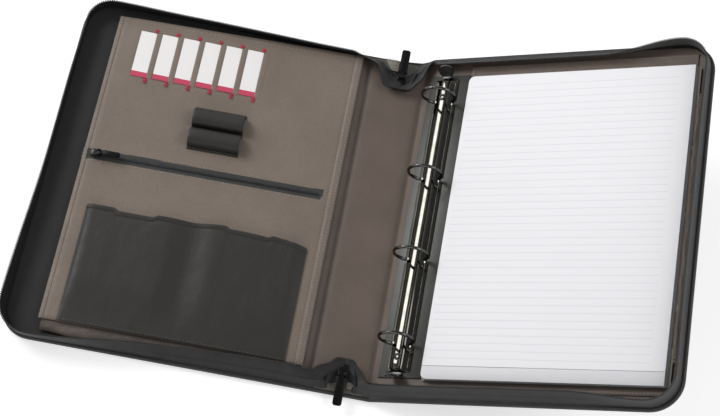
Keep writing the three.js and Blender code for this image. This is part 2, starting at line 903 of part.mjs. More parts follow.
function writingPad() {
  const set = new THREE.Group();
  const bindingBack = padFront + bindingLength;
  set.add(
    part('pad_backing',
      block(padNear, padFar + padTuck, padFront, padBack, backingBase, backingTop), greyboard),
    part('pad_sheets',
      block(padNear, padFar, bindingBack + gap, padBack, sheetBase, sheetBase + padSheets), paper),
    part('pad_binding',
      acrossSpine([
        new THREE.Vector2(bindingBack, sheetBase),
        new THREE.Vector2(bindingBack, sheetBase + padSheets),
        ...arc(padFront + padSheets, sheetBase, padSheets, padSheets, 90, 180, 6),
      ], padNear, padFar), paperShade),
  );
  return set;
}

// ---- Assembly ---------------------------------------------------------------------------------

const portfolio = new THREE.Group();

const leftCover = cover('left', 1, blackLining);
leftCover.rotation.z = Math.PI;
const leftHalf = new THREE.Group();
leftHalf.position.set(-spineWidth / 2, 0, skinTop);
leftHalf.add(leftCover, organiser());

const spineSet = spine();
spineSet.position.z = skinTop;

const rightHalf = new THREE.Group();
rightHalf.position.set(spineWidth / 2, 0, skinTop);
rightHalf.rotation.y = -degToRad(rightLift);
rightHalf.add(
  cover('right', -1, taupeLining),
  ringMechanism(),
  part('pad_pocket_panel', pocketPanel(), taupeLining),
  part('pad_retaining_strip', retainingStrip(), taupeLining),
  writingPad(),
);

portfolio.add(leftHalf, spineSet, rightHalf);

export default portfolio;
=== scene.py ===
import json
import math
import random

import bmesh
import bpy
from mathutils import Matrix, Quaternion, Vector, noise


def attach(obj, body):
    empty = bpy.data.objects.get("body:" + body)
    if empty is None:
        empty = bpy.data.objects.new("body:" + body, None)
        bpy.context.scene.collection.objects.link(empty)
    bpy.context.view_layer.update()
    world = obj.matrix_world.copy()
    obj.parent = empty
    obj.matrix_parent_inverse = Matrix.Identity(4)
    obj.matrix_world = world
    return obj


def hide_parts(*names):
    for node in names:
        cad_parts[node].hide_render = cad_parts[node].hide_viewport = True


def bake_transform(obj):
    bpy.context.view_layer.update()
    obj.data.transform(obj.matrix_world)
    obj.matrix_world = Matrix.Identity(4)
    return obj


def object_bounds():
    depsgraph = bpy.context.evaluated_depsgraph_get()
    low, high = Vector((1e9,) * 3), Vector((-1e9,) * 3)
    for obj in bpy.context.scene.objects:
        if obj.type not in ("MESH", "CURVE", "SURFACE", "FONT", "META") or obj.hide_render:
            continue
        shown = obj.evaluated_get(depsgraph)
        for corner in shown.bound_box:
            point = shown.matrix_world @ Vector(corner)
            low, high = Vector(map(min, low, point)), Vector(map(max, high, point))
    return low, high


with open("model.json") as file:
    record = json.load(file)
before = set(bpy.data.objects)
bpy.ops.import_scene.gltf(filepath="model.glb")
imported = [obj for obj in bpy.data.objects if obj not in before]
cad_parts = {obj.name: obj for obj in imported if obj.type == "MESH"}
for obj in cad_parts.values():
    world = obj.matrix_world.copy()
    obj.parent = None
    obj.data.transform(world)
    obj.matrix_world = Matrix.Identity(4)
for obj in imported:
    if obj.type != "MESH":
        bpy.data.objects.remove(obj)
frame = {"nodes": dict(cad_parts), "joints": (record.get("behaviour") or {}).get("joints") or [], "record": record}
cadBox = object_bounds()
random.seed(7)
scene = bpy.context.scene

# Places. A local place is in millimetres: along the cover from its hinge line, along the spine, up.
mm = 0.001


def jointNamed(name):
    return next(j for j in frame["joints"] if j["name"] == name)


leftHinge = Vector(jointNamed("left_fold")["pos_m"])
rightHinge = Vector(jointNamed("right_fold")["pos_m"])
slope = -math.radians(jointNamed("right_fold")["range_deg"][0])
foldHalf = 7  # half the width that bends at a hinge line
spineDip = {"depth": 7, "from": 12, "toLeft": 238, "toRight": 38}

leftPlace = Matrix.Translation(leftHinge) @ Matrix.Scale(mm, 4)
spinePlace = Matrix.Translation((0, 0, leftHinge.z)) @ Matrix.Scale(mm, 4)
rightPlace = Matrix.Translation(rightHinge) @ Matrix.Rotation(-slope, 4, "Y") @ Matrix.Scale(mm, 4)


def ease(low, high, x):
    t = min(max((x - low) / (high - low), 0), 1)
    return t * t * (3 - 2 * t)


def mix(a, b, t):
    return a + (b - a) * t


def dipped(x, y):  # the spine's back end lies a little further in than the covers
    to = spineDip["toLeft"] if x < 0 else spineDip["toRight"]
    return y - spineDip["depth"] * ease(to, spineDip["from"], abs(x)) * ease(140, 171, y)


def onLeft(u, y, h):  # u runs outwards, and is negative on the spine
    return leftHinge + Vector((-u, dipped(-28 - u, y), h)) * mm


def onRight(u, y, h):  # bends by the cover's slope over the fold
    y = dipped(28 + u, y)
    turn = slope * ease(-foldHalf, foldHalf, u)
    x = u * math.cos(turn) - h * math.sin(turn)
    z = u * math.sin(turn) + h * math.cos(turn)
    return rightHinge + Vector((x, y, z)) * mm


def inPlace(place):
    return lambda x, y, h: place @ Vector((x, y, h))


def localBox(node, place):
    back = place.inverted()
    points = [back @ v.co for v in frame["nodes"][node].data.vertices]
    low = Vector([min(p[k] for p in points) for k in range(3)])
    high = Vector([max(p[k] for p in points) for k in range(3)])
    return low, high


def foldSpan(side):  # where a piece that crosses a fold starts and stops bending
    if side == "left":
        return {"bodies": ("left_cover", "spine"),
                "start": onLeft(foldHalf, 0, 0), "end": onLeft(-foldHalf, 0, 0)}
    return {"bodies": ("spine", "right_cover"),
            "start": onRight(-foldHalf, 0, 0), "end": onRight(foldHalf, 0, 0)}


# ---- materials ----

def newMaterial(name):
    made = bpy.data.materials.new(name)
    made.use_nodes = True
    return made, made.node_tree.nodes, made.node_tree.links, made.node_tree.nodes["Principled BSDF"]


def coordinates(nodes, links, kind="Object", scale=(1, 1, 1), location=(0, 0, 0), rotation=(0, 0, 0)):
    source = nodes.new("ShaderNodeTexCoord")
    mapping = nodes.new("ShaderNodeMapping")
    mapping.inputs["Scale"].default_value = scale
    mapping.inputs["Location"].default_value = location
    mapping.inputs["Rotation"].default_value = rotation
    links.new(source.outputs[kind], mapping.inputs["Vector"])
    return mapping.outputs["Vector"]


def cloudy(nodes, links, vector, scale, detail=3, roughness=0.55):
    field = nodes.new("ShaderNodeTexNoise")
    field.inputs["Scale"].default_value = scale
    field.inputs["Detail"].default_value = detail
    field.inputs["Roughness"].default_value = roughness
    links.new(vector, field.inputs["Vector"])
    return field.outputs["Fac"]


def pebbles(nodes, links, vector, scale):
    field = nodes.new("ShaderNodeTexVoronoi")
    field.feature = "SMOOTH_F1"
    field.inputs["Scale"].default_value = scale
    field.inputs["Smoothness"].default_value = 0.6
    links.new(vector, field.inputs["Vector"])
    return field.outputs["Distance"]


def ramp(nodes, links, factor, stops):
    node = nodes.new("ShaderNodeValToRGB")
    while len(node.color_ramp.elements) < len(stops):
        node.color_ramp.elements.new(0.5)
    for element, (place, colour) in zip(node.color_ramp.elements, stops):
        element.position = place
        element.color = (*colour, 1)
    links.new(factor, node.inputs["Fac"])
    return node.outputs["Color"]


def calculate(nodes, links, operation, first, second=0.0):
    node = nodes.new("ShaderNodeMath")
    node.operation = operation
    for socket, value in zip(node.inputs, (first, second)):
        if isinstance(value, (int, float)):
            socket.default_value = value
        else:
            links.new(value, socket)
    return node.outputs["Value"]


def blendColour(nodes, links, factor, first, second, kind="MIX"):
    node = nodes.new("ShaderNodeMix")
    node.data_type = "RGBA"
    node.blend_type = kind
    for name, value in (("Factor", factor), ("A", first), ("B", second)):
        socket = [s for s in node.inputs if s.name == name and s.enabled][0]
        if isinstance(value, (int, float)):
            socket.default_value = value
        elif isinstance(value, tuple):
            socket.default_value = (*value, 1)
        else:
            links.new(value, socket)
    return [s for s in node.outputs if s.enabled][0]


def raise_(nodes, links, shader, height, distance, strength=1.0, under=None):
    node = nodes.new("ShaderNodeBump")
    node.inputs["Distance"].default_value = distance
    node.inputs["Strength"].default_value = strength
    links.new(height, node.inputs["Height"])
    if under is not None:
        links.new(under, node.inputs["Normal"])
    links.new(node.outputs["Normal"], shader.inputs["Normal"])
    return node.outputs["Normal"]


def shade(colour, amount):
    return tuple(c * amount for c in colour)


def leather(name, colour, roughness, grain=950, mottle=0.1, grainDepth=0.00009, creaseDepth=0.0003,
            sheen=0.0):
    made, nodes, links, shader = newMaterial(name)
    vector = coordinates(nodes, links)
    patches = cloudy(nodes, links, vector, 22, 4)
    fine = pebbles(nodes, links, vector, grain)
    tone = ramp(nodes, links, patches, [(0.3, shade(colour, 1 - mottle)), (0.7, shade(colour, 1 + mottle))])
    pits = ramp(nodes, links, fine, [(0.0, (1, 1, 1)), (0.9, (0.8, 0.8, 0.8))])
    links.new(blendColour(nodes, links, 1.0, tone, pits, "MULTIPLY"), shader.inputs["Base Color"])
    worn = cloudy(nodes, links, vector, 70, 3)
    spread = ramp(nodes, links, worn, [(0.25, (roughness - 0.07,) * 3), (0.75, (roughness + 0.07,) * 3)])
    links.new(spread, shader.inputs["Roughness"])
    shader.inputs["Sheen Weight"].default_value = sheen
    shader.inputs["Sheen Roughness"].default_value = 0.4
    crease = raise_(nodes, links, shader, cloudy(nodes, links, vector, 130, 4), creaseDepth)
    raise_(nodes, links, shader, fine, grainDepth, under=crease)
    return made


def woven(name, colour, thread, roughness=0.8, depth=0.00012, kind="UV", sheen=0.15):
    made, nodes, links, shader = newMaterial(name)
    vector = coordinates(nodes, links, kind, scale=(1 / thread,) * 3)
    waves = []
    for direction in ("X", "Y"):
        wave = nodes.new("ShaderNodeTexWave")
        wave.wave_type = "BANDS"
        wave.bands_direction = direction
        wave.inputs["Scale"].default_value = 0.314
        wave.inputs["Distortion"].default_value = 0.6
        links.new(vector, wave.inputs["Vector"])
        waves.append(wave.outputs["Fac"])
    cross = calculate(nodes, links, "MULTIPLY", waves[0], waves[1])
    patches = cloudy(nodes, links, coordinates(nodes, links), 45, 3)
    tone = ramp(nodes, links, patches, [(0.3, shade(colour, 0.88)), (0.7, shade(colour, 1.12))])
    yarn = ramp(nodes, links, cross, [(0.0, (0.72, 0.72, 0.72)), (0.8, (1, 1, 1))])
    links.new(blendColour(nodes, links, 1.0, tone, yarn, "MULTIPLY"), shader.inputs["Base Color"])
    shader.inputs["Roughness"].default_value = roughness
    shader.inputs["Sheen Weight"].default_value = sheen
    shader.inputs["Sheen Roughness"].default_value = 0.5
    raise_(nodes, links, shader, cross, depth)
    return made


def metal(name, colour, roughness, scratch=0.05):
    made, nodes, links, shader = newMaterial(name)
    vector = coordinates(nodes, links)
    patches = cloudy(nodes, links, vector, 90, 4)
    tone = ramp(nodes, links, patches, [(0.3, shade(colour, 0.85)), (0.7, shade(colour, 1.15))])
    links.new(tone, shader.inputs["Base Color"])
    spread = ramp(nodes, links, cloudy(nodes, links, vector, 220, 3),
                  [(0.3, (roughness - scratch / 2,) * 3), (0.7, (roughness + scratch,) * 3)])
    links.new(spread, shader.inputs["Roughness"])
    shader.inputs["Metallic"].default_value = 1.0
    raise_(nodes, links, shader, cloudy(nodes, links, vector, 60, 2), 0.00004, 0.5)
    return made


def moulded(name, colour, roughness, metallic=0.0):
    made, nodes, links, shader = newMaterial(name)
    vector = coordinates(nodes, links)
    patches = cloudy(nodes, links, vector, 60, 3)
    tone = ramp(nodes, links, patches, [(0.3, shade(colour, 0.92)), (0.7, shade(colour, 1.08))])
    links.new(tone, shader.inputs["Base Color"])
    shader.inputs["Metallic"].default_value = metallic
    shader.inputs["Roughness"].default_value = roughness
    raise_(nodes, links, shader, cloudy(nodes, links, vector, 1500, 2), 0.00003)
    return made


def paperStock(name, colour, roughness=0.85):
    made, nodes, links, shader = newMaterial(name)
    vector = coordinates(nodes, links)
    fibre = cloudy(nodes, links, vector, 900, 4)
    patches = cloudy(nodes, links, vector, 15, 2)
    tone = ramp(nodes, links, patches, [(0.3, shade(colour, 0.985)), (0.7, colour)])
    links.new(tone, shader.inputs["Base Color"])
    shader.inputs["Roughness"].default_value = roughness
    raise_(nodes, links, shader, fibre, 0.00002)
    return made


# Ruled paper: grey lines across the sheet, in the cover's own plane.
ruling = {"pitch": 0.007, "width": 0.0005, "nearMargin": 0.004, "farMargin": 0.013,
          "backMargin": 0.0115, "frontMargin": 0.005, "ink": (0.75, 0.75, 0.785)}


def ruledPaper(name, colour, low, high):
    made, nodes, links, shader = newMaterial(name)
    turn = Matrix.Rotation(slope, 3, "Y")
    shift = -(turn @ rightHinge)
    vector = coordinates(nodes, links, rotation=(0, slope, 0), location=shift)
    parts = nodes.new("ShaderNodeSeparateXYZ")
    links.new(vector, parts.inputs[0])
    along, across = parts.outputs["Y"], parts.outputs["X"]
    backEdge = high.y * mm - ruling["backMargin"]
    fromBack = calculate(nodes, links, "SUBTRACT", backEdge, along)
    phase = calculate(nodes, links, "FRACT", calculate(nodes, links, "DIVIDE", fromBack, ruling["pitch"]))
    inked = calculate(nodes, links, "LESS_THAN", phase, ruling["width"] / ruling["pitch"])
    limits = (
        calculate(nodes, links, "GREATER_THAN", fromBack, 0.0),
        calculate(nodes, links, "GREATER_THAN", along, low.y * mm + ruling["frontMargin"]),
        calculate(nodes, links, "GREATER_THAN", across, low.x * mm + ruling["nearMargin"]),
        calculate(nodes, links, "LESS_THAN", across, high.x * mm - ruling["farMargin"]),
    )
    for limit in limits:
        inked = calculate(nodes, links, "MULTIPLY", inked, limit)
    sheet = ramp(nodes, links, cloudy(nodes, links, coordinates(nodes, links), 12, 2),
                 [(0.3, shade(colour, 0.985)), (0.7, colour)])
    links.new(blendColour(nodes, links, inked, sheet, ruling["ink"]), shader.inputs["Base Color"])
    shader.inputs["Roughness"].default_value = 0.8
    raise_(nodes, links, shader, cloudy(nodes, links, coordinates(nodes, links), 900, 4), 0.00002)
    return made


def stackedPaper(name, colour):  # the edge of a block of sheets
    made, nodes, links, shader = newMaterial(name)
    vector = coordinates(nodes, links, rotation=(0, slope, 0), scale=(1, 1, 1))
    layers = nodes.new("ShaderNodeTexWave")
    layers.bands_direction = "Z"
    layers.inputs["Scale"].default_value = 900
    layers.inputs["Distortion"].default_value = 2.5
    layers.inputs["Detail"].default_value = 2
    links.new(vector, layers.inputs["Vector"])
    # the darker bands are painted shade in the gaps between the sheets
    tone = ramp(nodes, links, layers.outputs["Fac"], [(0.1, shade(colour, 0.62)), (0.6, colour)])
    links.new(tone, shader.inputs["Base Color"])
    shader.inputs["Roughness"].default_value = 0.9
    raise_(nodes, links, shader, layers.outputs["Fac"], 0.00008)
    return made


colours = {
    "skin": (0.014, 0.014, 0.014), "liningBlack": (0.023, 0.023, 0.0235), "taupe": (0.206, 0.164, 0.133),
    "taupeSpine": (0.141, 0.106, 0.086), "taupeDark": (0.11, 0.088, 0.073), "pocket": (0.021, 0.0193, 0.0167),
    "binding": (0.014, 0.014, 0.0137), "darkTape": (0.0095, 0.0095, 0.0095), "tape": (0.04, 0.0425, 0.04), "nickel": (0.1, 0.1, 0.095),
    "railNickel": (0.115, 0.112, 0.1), "lever": (0.012, 0.012, 0.012), "plate": (0.058, 0.06, 0.054), "paper": (0.9, 0.895, 0.925),
    # paperShade: white paper darkened to grey, painted shade for the pad's front margin curving down
    "paperShade": (0.7, 0.7, 0.725), "card": (0.9, 0.87, 0.87), "cardRed": (0.56, 0.055, 0.115),
    "tack": (0.6, 0.02, 0.06), "threadLight": (0.36, 0.315, 0.27), "threadDark": (0.075, 0.07, 0.062),
    "pocketThread": (0.12, 0.11, 0.1),
    "greyboard": (0.26, 0.24, 0.21), "zipEnd": (0.3, 0.285, 0.235),
}

skinLeather = leather("blackGrainedLeather", colours["skin"], 0.55, grain=800)
taupeLeather = leather("taupeLeather", colours["taupe"], 0.6, sheen=0.1, mottle=0.09)
taupeSpineLeather = leather("taupeSpineLeather", colours["taupeSpine"], 0.62, sheen=0.1, mottle=0.1)
taupeFoldLeather = leather("taupeFoldLeather", colours["taupeDark"], 0.42, mottle=0.22, creaseDepth=0.0009)
pocketLeather = leather("blackPocketLeather", colours["pocket"], 0.58, grain=1100, mottle=0.06)
bindingLeather = leather("blackBinding", colours["binding"], 0.5, grain=1300, mottle=0.08)
darkTape = leather("blackTapeLeather", colours["darkTape"], 0.62, grain=1300, mottle=0.06)
blackCloth = woven("blackLiningCloth", colours["liningBlack"], 0.0007, kind="Object")
tapeCloth = woven("zipTapeCloth", colours["tape"], 0.0009)
zipEndCloth = woven("zipEndCloth", colours["zipEnd"], 0.0009)
# the zip ends' cloth darkened to 0.42: painted shade for the same cloth deep in the notches
zipEndPaintedShade = woven("zipEndPaintedShade", shade(colours["zipEnd"], 0.42), 0.0009)
nickel = metal("blackNickel", colours["nickel"], 0.13)
railNickel = metal("railNickel", colours["railNickel"], 0.07, scratch=0.03)
zipMetal = metal("blackZipMetal", (0.035, 0.035, 0.035), 0.28)
coilPlastic = moulded("zipCoilPlastic", (0.014, 0.014, 0.014), 0.5)
leverPlastic = moulded("blackLever", colours["lever"], 0.22)
plateFinish = moulded("greyPlate", colours["plate"], 0.38, 0.35)
greyboard = paperStock("greyboard", colours["greyboard"])
# the pad binding's grey is painted shade of white paper on its downward curve
bindingPaintedShadePaper = paperStock("bindingPaintedShadePaper", colours["paperShade"], 0.6)
cardStock = paperStock("cardStock", colours["card"], 0.6)
cardRed = paperStock("cardRedBand", colours["cardRed"], 0.6)
tackThread = woven("redTackThread", colours["tack"], 0.0005, kind="Object")
threadLight = woven("taupeThread", colours["threadLight"], 0.0004, kind="Object")
threadDark = woven("blackThread", colours["threadDark"], 0.0004, kind="Object")
pocketThread = woven("pocketThread", colours["pocketThread"], 0.0004, kind="Object")
paperEdge = stackedPaper("stackedPaper", colours["paper"])
print("materials made")


# ---- mesh helpers ----

def sheetGrid(columns, rows, shape, thickness=0.0, size=(1, 1), facing=Vector((0, 0, 1)), bands=()):
    """columns and rows are the places between 0 and 1 where the sheet has its lines."""
    bm = bmesh.new()
    layer = bm.loops.layers.uv.new("UVMap")
    bmesh.ops.create_grid(bm, x_segments=len(columns) - 1, y_segments=len(rows) - 1, size=0.5, calc_uvs=True)
    for vert in bm.verts:
        i = round((vert.co.x + 0.5) * (len(columns) - 1))
        j = round((vert.co.y + 0.5) * (len(rows) - 1))
        for loop in vert.link_loops:
            loop[layer].uv = (columns[i] * size[0], rows[j] * size[1])
        for face in vert.link_faces:
            face.material_index = 0
        vert.co = shape(columns[i], rows[j])
    if bands:  # (share of the rows, material index)
        for face in bm.faces:
            middle = sum(loop[layer].uv.y for loop in face.loops) / len(face.loops) / size[1]
            for limit, index in bands:
                if middle > limit:
                    face.material_index = index
    bm.normal_update()
    if sum((f.normal.dot(facing) * f.calc_area() for f in bm.faces), 0.0) < 0:
        bmesh.ops.reverse_faces(bm, faces=bm.faces)
        bm.normal_update()
    if thickness:
        bmesh.ops.solidify(bm, geom=bm.faces[:], thickness=thickness * mm)
    return bm


def even(count):
    return [i / count for i in range(count + 1)]


def placesAt(low, high, marks, step):
    """Places from low to high at most a step apart, with a line at each mark, as shares."""
    stops = sorted({low, high, *[m for m in marks if low < m < high]})
    found = [low]
    for a, b in zip(stops, stops[1:]):
        count = max(1, math.ceil((b - a) / step))
        found += [mix(a, b, k / count) for k in range(1, count + 1)]
    return [(p - low) / (high - low) for p in found]


def finishPiece(name, bm, finishes, body=None, fold=None, replaced=(), slot=None, sharp=40, smooth=True):
    mesh = bpy.data.meshes.new(name)
    bmesh.ops.triangulate(bm, faces=[f for f in bm.faces if len(f.verts) > 4])
    bm.to_mesh(mesh)
    bm.free()
    for polygon in mesh.polygons:
        polygon.use_smooth = smooth
    if smooth:
        mesh.set_sharp_from_angle(angle=math.radians(sharp))
    for finish in finishes if isinstance(finishes, (list, tuple)) else [finishes]:
        mesh.materials.append(finish)
    piece = bpy.data.objects.new(name, mesh)
    scene.collection.objects.link(piece)
    if fold:
        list(fold["bodies"])
        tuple(fold["start"])
        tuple(fold["end"])
        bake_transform(piece)
    else:
        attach(piece, body)
    if replaced:
        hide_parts(*replaced)
    return piece


def polished(node, finish, body, bevel=0.0, sharp=35, segments=2):
    """A merged, rounded copy of a hard node, which it replaces."""
    source = frame["nodes"][node]
    bm = bmesh.new()
    bm.from_mesh(source.data)
    bmesh.ops.remove_doubles(bm, verts=bm.verts, dist=0.01 * mm)
    bmesh.ops.dissolve_limit(bm, angle_limit=math.radians(1), verts=bm.verts, edges=bm.edges)
    if bevel:
        hard = [e for e in bm.edges if len(e.link_faces) == 2 and e.calc_face_angle(0) > math.radians(50)]
        bmesh.ops.bevel(bm, geom=hard, offset=bevel * mm, offset_type="OFFSET", segments=segments,
                        profile=0.5, affect="EDGES", clamp_overlap=True, material=-1)
    name = "".join(w if i == 0 else w.capitalize() for i, w in enumerate(node.split("_")))
    slot = slotOf[node]
    return finishPiece(name, bm, finish, body, replaced=(node,), slot=slot, sharp=sharp)


slotOf = {row["node"]: row.get("material_slot") for row in frame["record"]["subparts"]}
bodyOf = {node: body for body, nodes in frame["record"]["behaviour"]["bodies"].items() for node in nodes}


def stitchRun(bm, points, pitch=3.0, length=2.2, width=0.55, lift=0.25, place=None):
    """Stitches in even steps along a run of local points, a little proud of the surface."""
    for first, last in zip(points, points[1:]):
        first, last = Vector(first), Vector(last)
        span = (last - first).length
        count = max(1, int(span / pitch))
        direction = (last - first).normalized()
        turn = Vector((1, 0, 0)).rotation_difference(direction).to_matrix().to_4x4()
        for k in range(count):
            middle = first.lerp(last, (k + 0.5) / count) + Vector((0, 0, lift * 0.3))
            stitch = place @ Matrix.Translation(middle) @ turn @ Matrix.Diagonal(
                (length / 2, width / 2, width / 2, 1))
            bmesh.ops.create_icosphere(bm, subdivisions=1, radius=1, matrix=stitch)


# ---- sizes read from the frame ----

skinLow, skinHigh = localBox("right_cover_skin", rightPlace)
boardLow, boardHigh = localBox("right_cover_board", rightPlace)
liningLow, liningHigh = localBox("right_cover_lining", rightPlace)
tapeLow, tapeHigh = localBox("right_zip_tape", rightPlace)
reach = skinHigh.x
half = skinHigh.y
spineHalf = rightHinge.x / mm
liningTop = liningHigh.z
turnedEdge = reach - liningHigh.x
seat = liningTop + 0.3
print("frame read:", round(reach), "by", round(2 * half), "mm covers")

# ---- covers: the leather skin turned over the boards' edges ----

coverSizes = {"cornerRadius": 28, "edgeRoll": 2.2, "skin": 1.1, "wrapTop": 4.9, "outlineSegments": 10}


def foldLines(bm, low, high, step):
    count = round((high - low) / step)
    for k in range(count + 1):
        bmesh.ops.bisect_plane(bm, geom=bm.verts[:] + bm.edges[:] + bm.faces[:],
                               plane_co=(mix(low, high, k / count), 0, 0), plane_no=(1, 0, 0))


def coverSkin(side, onCover):
    sizes = coverSizes
    bm = bmesh.new()
    low, high = skinLow.z, sizes["wrapTop"]
    roll = sizes["edgeRoll"]
    corners = [bm.verts.new(p) for p in ((-spineHalf, -half, low), (reach, -half, low),
                                         (reach, half, low), (-spineHalf, half, low))]
    bm.faces.new(corners)
    bmesh.ops.bevel(bm, geom=corners[1:3], offset=sizes["cornerRadius"], offset_type="OFFSET",
                    segments=sizes["outlineSegments"], profile=0.5, affect="VERTICES", material=-1)
    raised = bmesh.ops.extrude_face_region(bm, geom=bm.faces[:])["geom"]
    bmesh.ops.translate(bm, vec=(0, 0, high - low), verts=[g for g in raised if isinstance(g, bmesh.types.BMVert)])
    bmesh.ops.recalc_face_normals(bm, faces=bm.faces)
    nearWall = [f for f in bm.faces if all(abs(v.co.x + spineHalf) < 0.01 for v in f.verts)]
    bmesh.ops.delete(bm, geom=nearWall, context="FACES_ONLY")
    rim = [e for e in bm.edges if abs(e.verts[0].co.z - e.verts[1].co.z) < 0.01
           and not all(abs(v.co.x + spineHalf) < 0.01 for v in e.verts)]
    bmesh.ops.bevel(bm, geom=rim, offset=roll, offset_type="OFFSET", segments=4, profile=0.5,
                    affect="EDGES", clamp_overlap=True, material=-1)
    bm.normal_update()
    top = [f for f in bm.faces if f.normal.z > 0.99 and f.calc_area() > 1000]
    inset = turnedEdge + 1.5 - roll
    bmesh.ops.inset_region(bm, faces=top, thickness=inset, use_even_offset=True, use_boundary=True)
    for vert in bm.verts:
        if abs(vert.co.x + spineHalf - inset) < 0.05 and vert.co.z > high - 0.1:
            vert.co.x = -spineHalf
    bmesh.ops.delete(bm, geom=top, context="FACES_ONLY")
    flat = [f for f in bm.faces if f.calc_area() < 0.01]
    bmesh.ops.delete(bm, geom=flat, context="FACES_ONLY")
    foldLines(bm, -foldHalf, foldHalf, 1.75)
    bm.normal_update()
    bmesh.ops.solidify(bm, geom=bm.faces[:], thickness=sizes["skin"])
    for vert in bm.verts:
        vert.co = onCover(*vert.co)
    if side == "left":
        bmesh.ops.reverse_faces(bm, faces=bm.faces)
    replaced = [f"{side}_cover_skin"] + (["spine_skin"] if side == "right" else [])
    skin = finishPiece(f"{side}CoverSkin", bm, skinLeather, fold=foldSpan(side), replaced=replaced,
                       slot="black_leather")


coverSkin("left", onLeft)
coverSkin("right", onRight)
print("cover skins made")

# ---- linings ----

liningSizes = {"thickness": 0.9, "leftValley": 2.6, "rightValley": 1.1, "valleyWidth": 3.4,
               "underOrganiser": 14, "wave": 0.12}


def liningHalf(u):  # half the lining's length, at a distance from the hinge line
    edge = half - turnedEdge
    radius = coverSizes["cornerRadius"] - turnedEdge
    past = u - (reach - turnedEdge - radius)
    if past <= 0:
        return edge
    return edge - radius + math.sqrt(max(radius * radius - past * past, 0))


def lining(name, low, high, onCover, finish, valley, fold=None, body=None, replaced=(), slot=None):
    sizes = liningSizes
    marks = [k * 1.75 - foldHalf for k in range(9)] + [reach - turnedEdge - d for d in (0.3, 1, 2.5, 5, 9, 14)]
    columns = placesAt(low, high, marks, 7)

    def shape(a, b):
        u = mix(low, high, a)
        y = mix(-1, 1, b) * liningHalf(u)
        dip = valley * math.exp(-(u / sizes["valleyWidth"]) ** 2)
        wave = sizes["wave"] * noise.noise(Vector((u, y, 0)) * 0.03)
        return onCover(u, y, liningTop + wave - dip)

    bm = sheetGrid(columns, even(50), shape, sizes["thickness"], size=((high - low) * mm, 2 * half * mm))
    piece = finishPiece(name, bm, finish, body, fold, replaced, slot)


under = liningSizes["underOrganiser"]
lining("leftFoldLining", -spineHalf, under, onLeft, taupeSpineLeather, liningSizes["leftValley"],
       fold=foldSpan("left"), slot="taupe_lining")
lining("leftCoverLining", under + 0.3, reach - turnedEdge, onLeft, blackCloth, 0,
       body="left_cover", replaced=["left_cover_lining"], slot="black_lining")
lining("spineAndRightLining", -spineHalf, reach - turnedEdge, onRight, taupeSpineLeather,
       liningSizes["rightValley"], fold=foldSpan("right"),
       replaced=["right_cover_lining", "spine_lining"], slot="taupe_lining")
print("linings made")

# ---- zip tape: binding, woven tape and teeth, from notch to notch round each cover ----

zipSizes = {"inset": 2.2, "baseHeight": 3.2, "rise": 14.5, "riseFrom": 5.5, "thickness": 1.0,
            "leanCorner": {"left": -10, "right": 5}, "leanFront": {"left": 46, "right": 30}, "leanBack": {"left": 22, "right": 48},
            "widerFront": 3.5, "leanSide": {"left": 9, "right": 8}, "leanEase": {"front": 150, "back": 70},
            "rimStart": 16, "bindingShare": 0.42, "ridge": 0.8, "step": 6, "darkEnd": 75,
            "toothPitch": 2.1, "toothLength": 1.3, "toothWidth": 1.9, "toothHeight": 1.2}


def rimAt(distance, inset):
    """A point and outward direction on a cover's rim, from the front fold round to the back fold."""
    radius = coverSizes["cornerRadius"]
    coreU, coreY = reach - radius, half - radius
    straight, turn, side = coreU - zipSizes["rimStart"], radius * math.pi / 2, 2 * coreY
    if distance <= straight:
        return Vector((zipSizes["rimStart"] + distance, inset - half)), Vector((0, -1))
    distance -= straight
    if distance <= turn:
        out = Vector((math.sin(distance / radius), -math.cos(distance / radius)))
        return Vector((coreU, -coreY)) + out * (radius - inset), out
    distance -= turn
    if distance <= side:
        return Vector((reach - inset, distance - coreY)), Vector((1, 0))
    distance -= side
    if distance <= turn:
        out = Vector((math.cos(distance / radius), math.sin(distance / radius)))
        return Vector((coreU, coreY)) + out * (radius - inset), out
    distance -= turn
    return Vector((coreU - distance, half - inset)), Vector((0, 1))


def rimLength():
    radius = coverSizes["cornerRadius"]
    return 2 * (reach - radius - zipSizes["rimStart"]) + radius * math.pi + 2 * (half - radius)


def leanAt(side, point):
    sizes = zipSizes
    coreU, coreY = reach - coverSizes["cornerRadius"], half - coverSizes["cornerRadius"]
    fromCorner = max(coreY - abs(point.y), coreU - point.x, 0)
    along = sizes["leanFront"][side] if point.y < 0 else sizes["leanBack"][side]
    full = sizes["leanSide"][side] if point.x > coreU else along
    reachOf = sizes["leanEase"]["front" if point.y < 0 and side == "left" else "back"]
    corner = sizes["leanCorner"][side] if point.y < 0 or side == "right" else 15
    return math.radians(mix(corner, full, ease(0, reachOf, fromCorner)))


def rimStation(side, distance):
    """The foot and the top of the tape at a place on the rim."""
    sizes = zipSizes
    point, out = rimAt(distance, sizes["inset"])
    lean = leanAt(side, point)
    rise = sizes["rise"]
    if side == "left" and point.y < 0:
        rise += sizes["widerFront"] * ease(130, 40, point.x)
    topAway = out * rise * math.sin(lean)
    foot = Vector((point.x, point.y, sizes["baseHeight"]))
    top = Vector((point.x - topAway.x, point.y - topAway.y, sizes["riseFrom"] + rise * math.cos(lean)))
    return foot, top


# A notch's line runs from its middle to the rim: (share of the way to the mouth, height).
notchSizes = {"back": {"flare": {"left": 15, "right": 10.2}, "mouth": {"left": 22, "right": 38},
                       "mouthY": {"left": 156, "right": 162}, "footMouth": {"left": 18, "right": 20},
                       "footBeyond": 18},
              "front": {"flare": {"left": 8.5, "right": 8.5}, "mouth": {"left": 27, "right": 23},
                        "mouthY": {"left": 156, "right": 158}, "footMouth": {"left": 13, "right": 14},
                        "footBeyond": 13},
              "wall": 0.7}


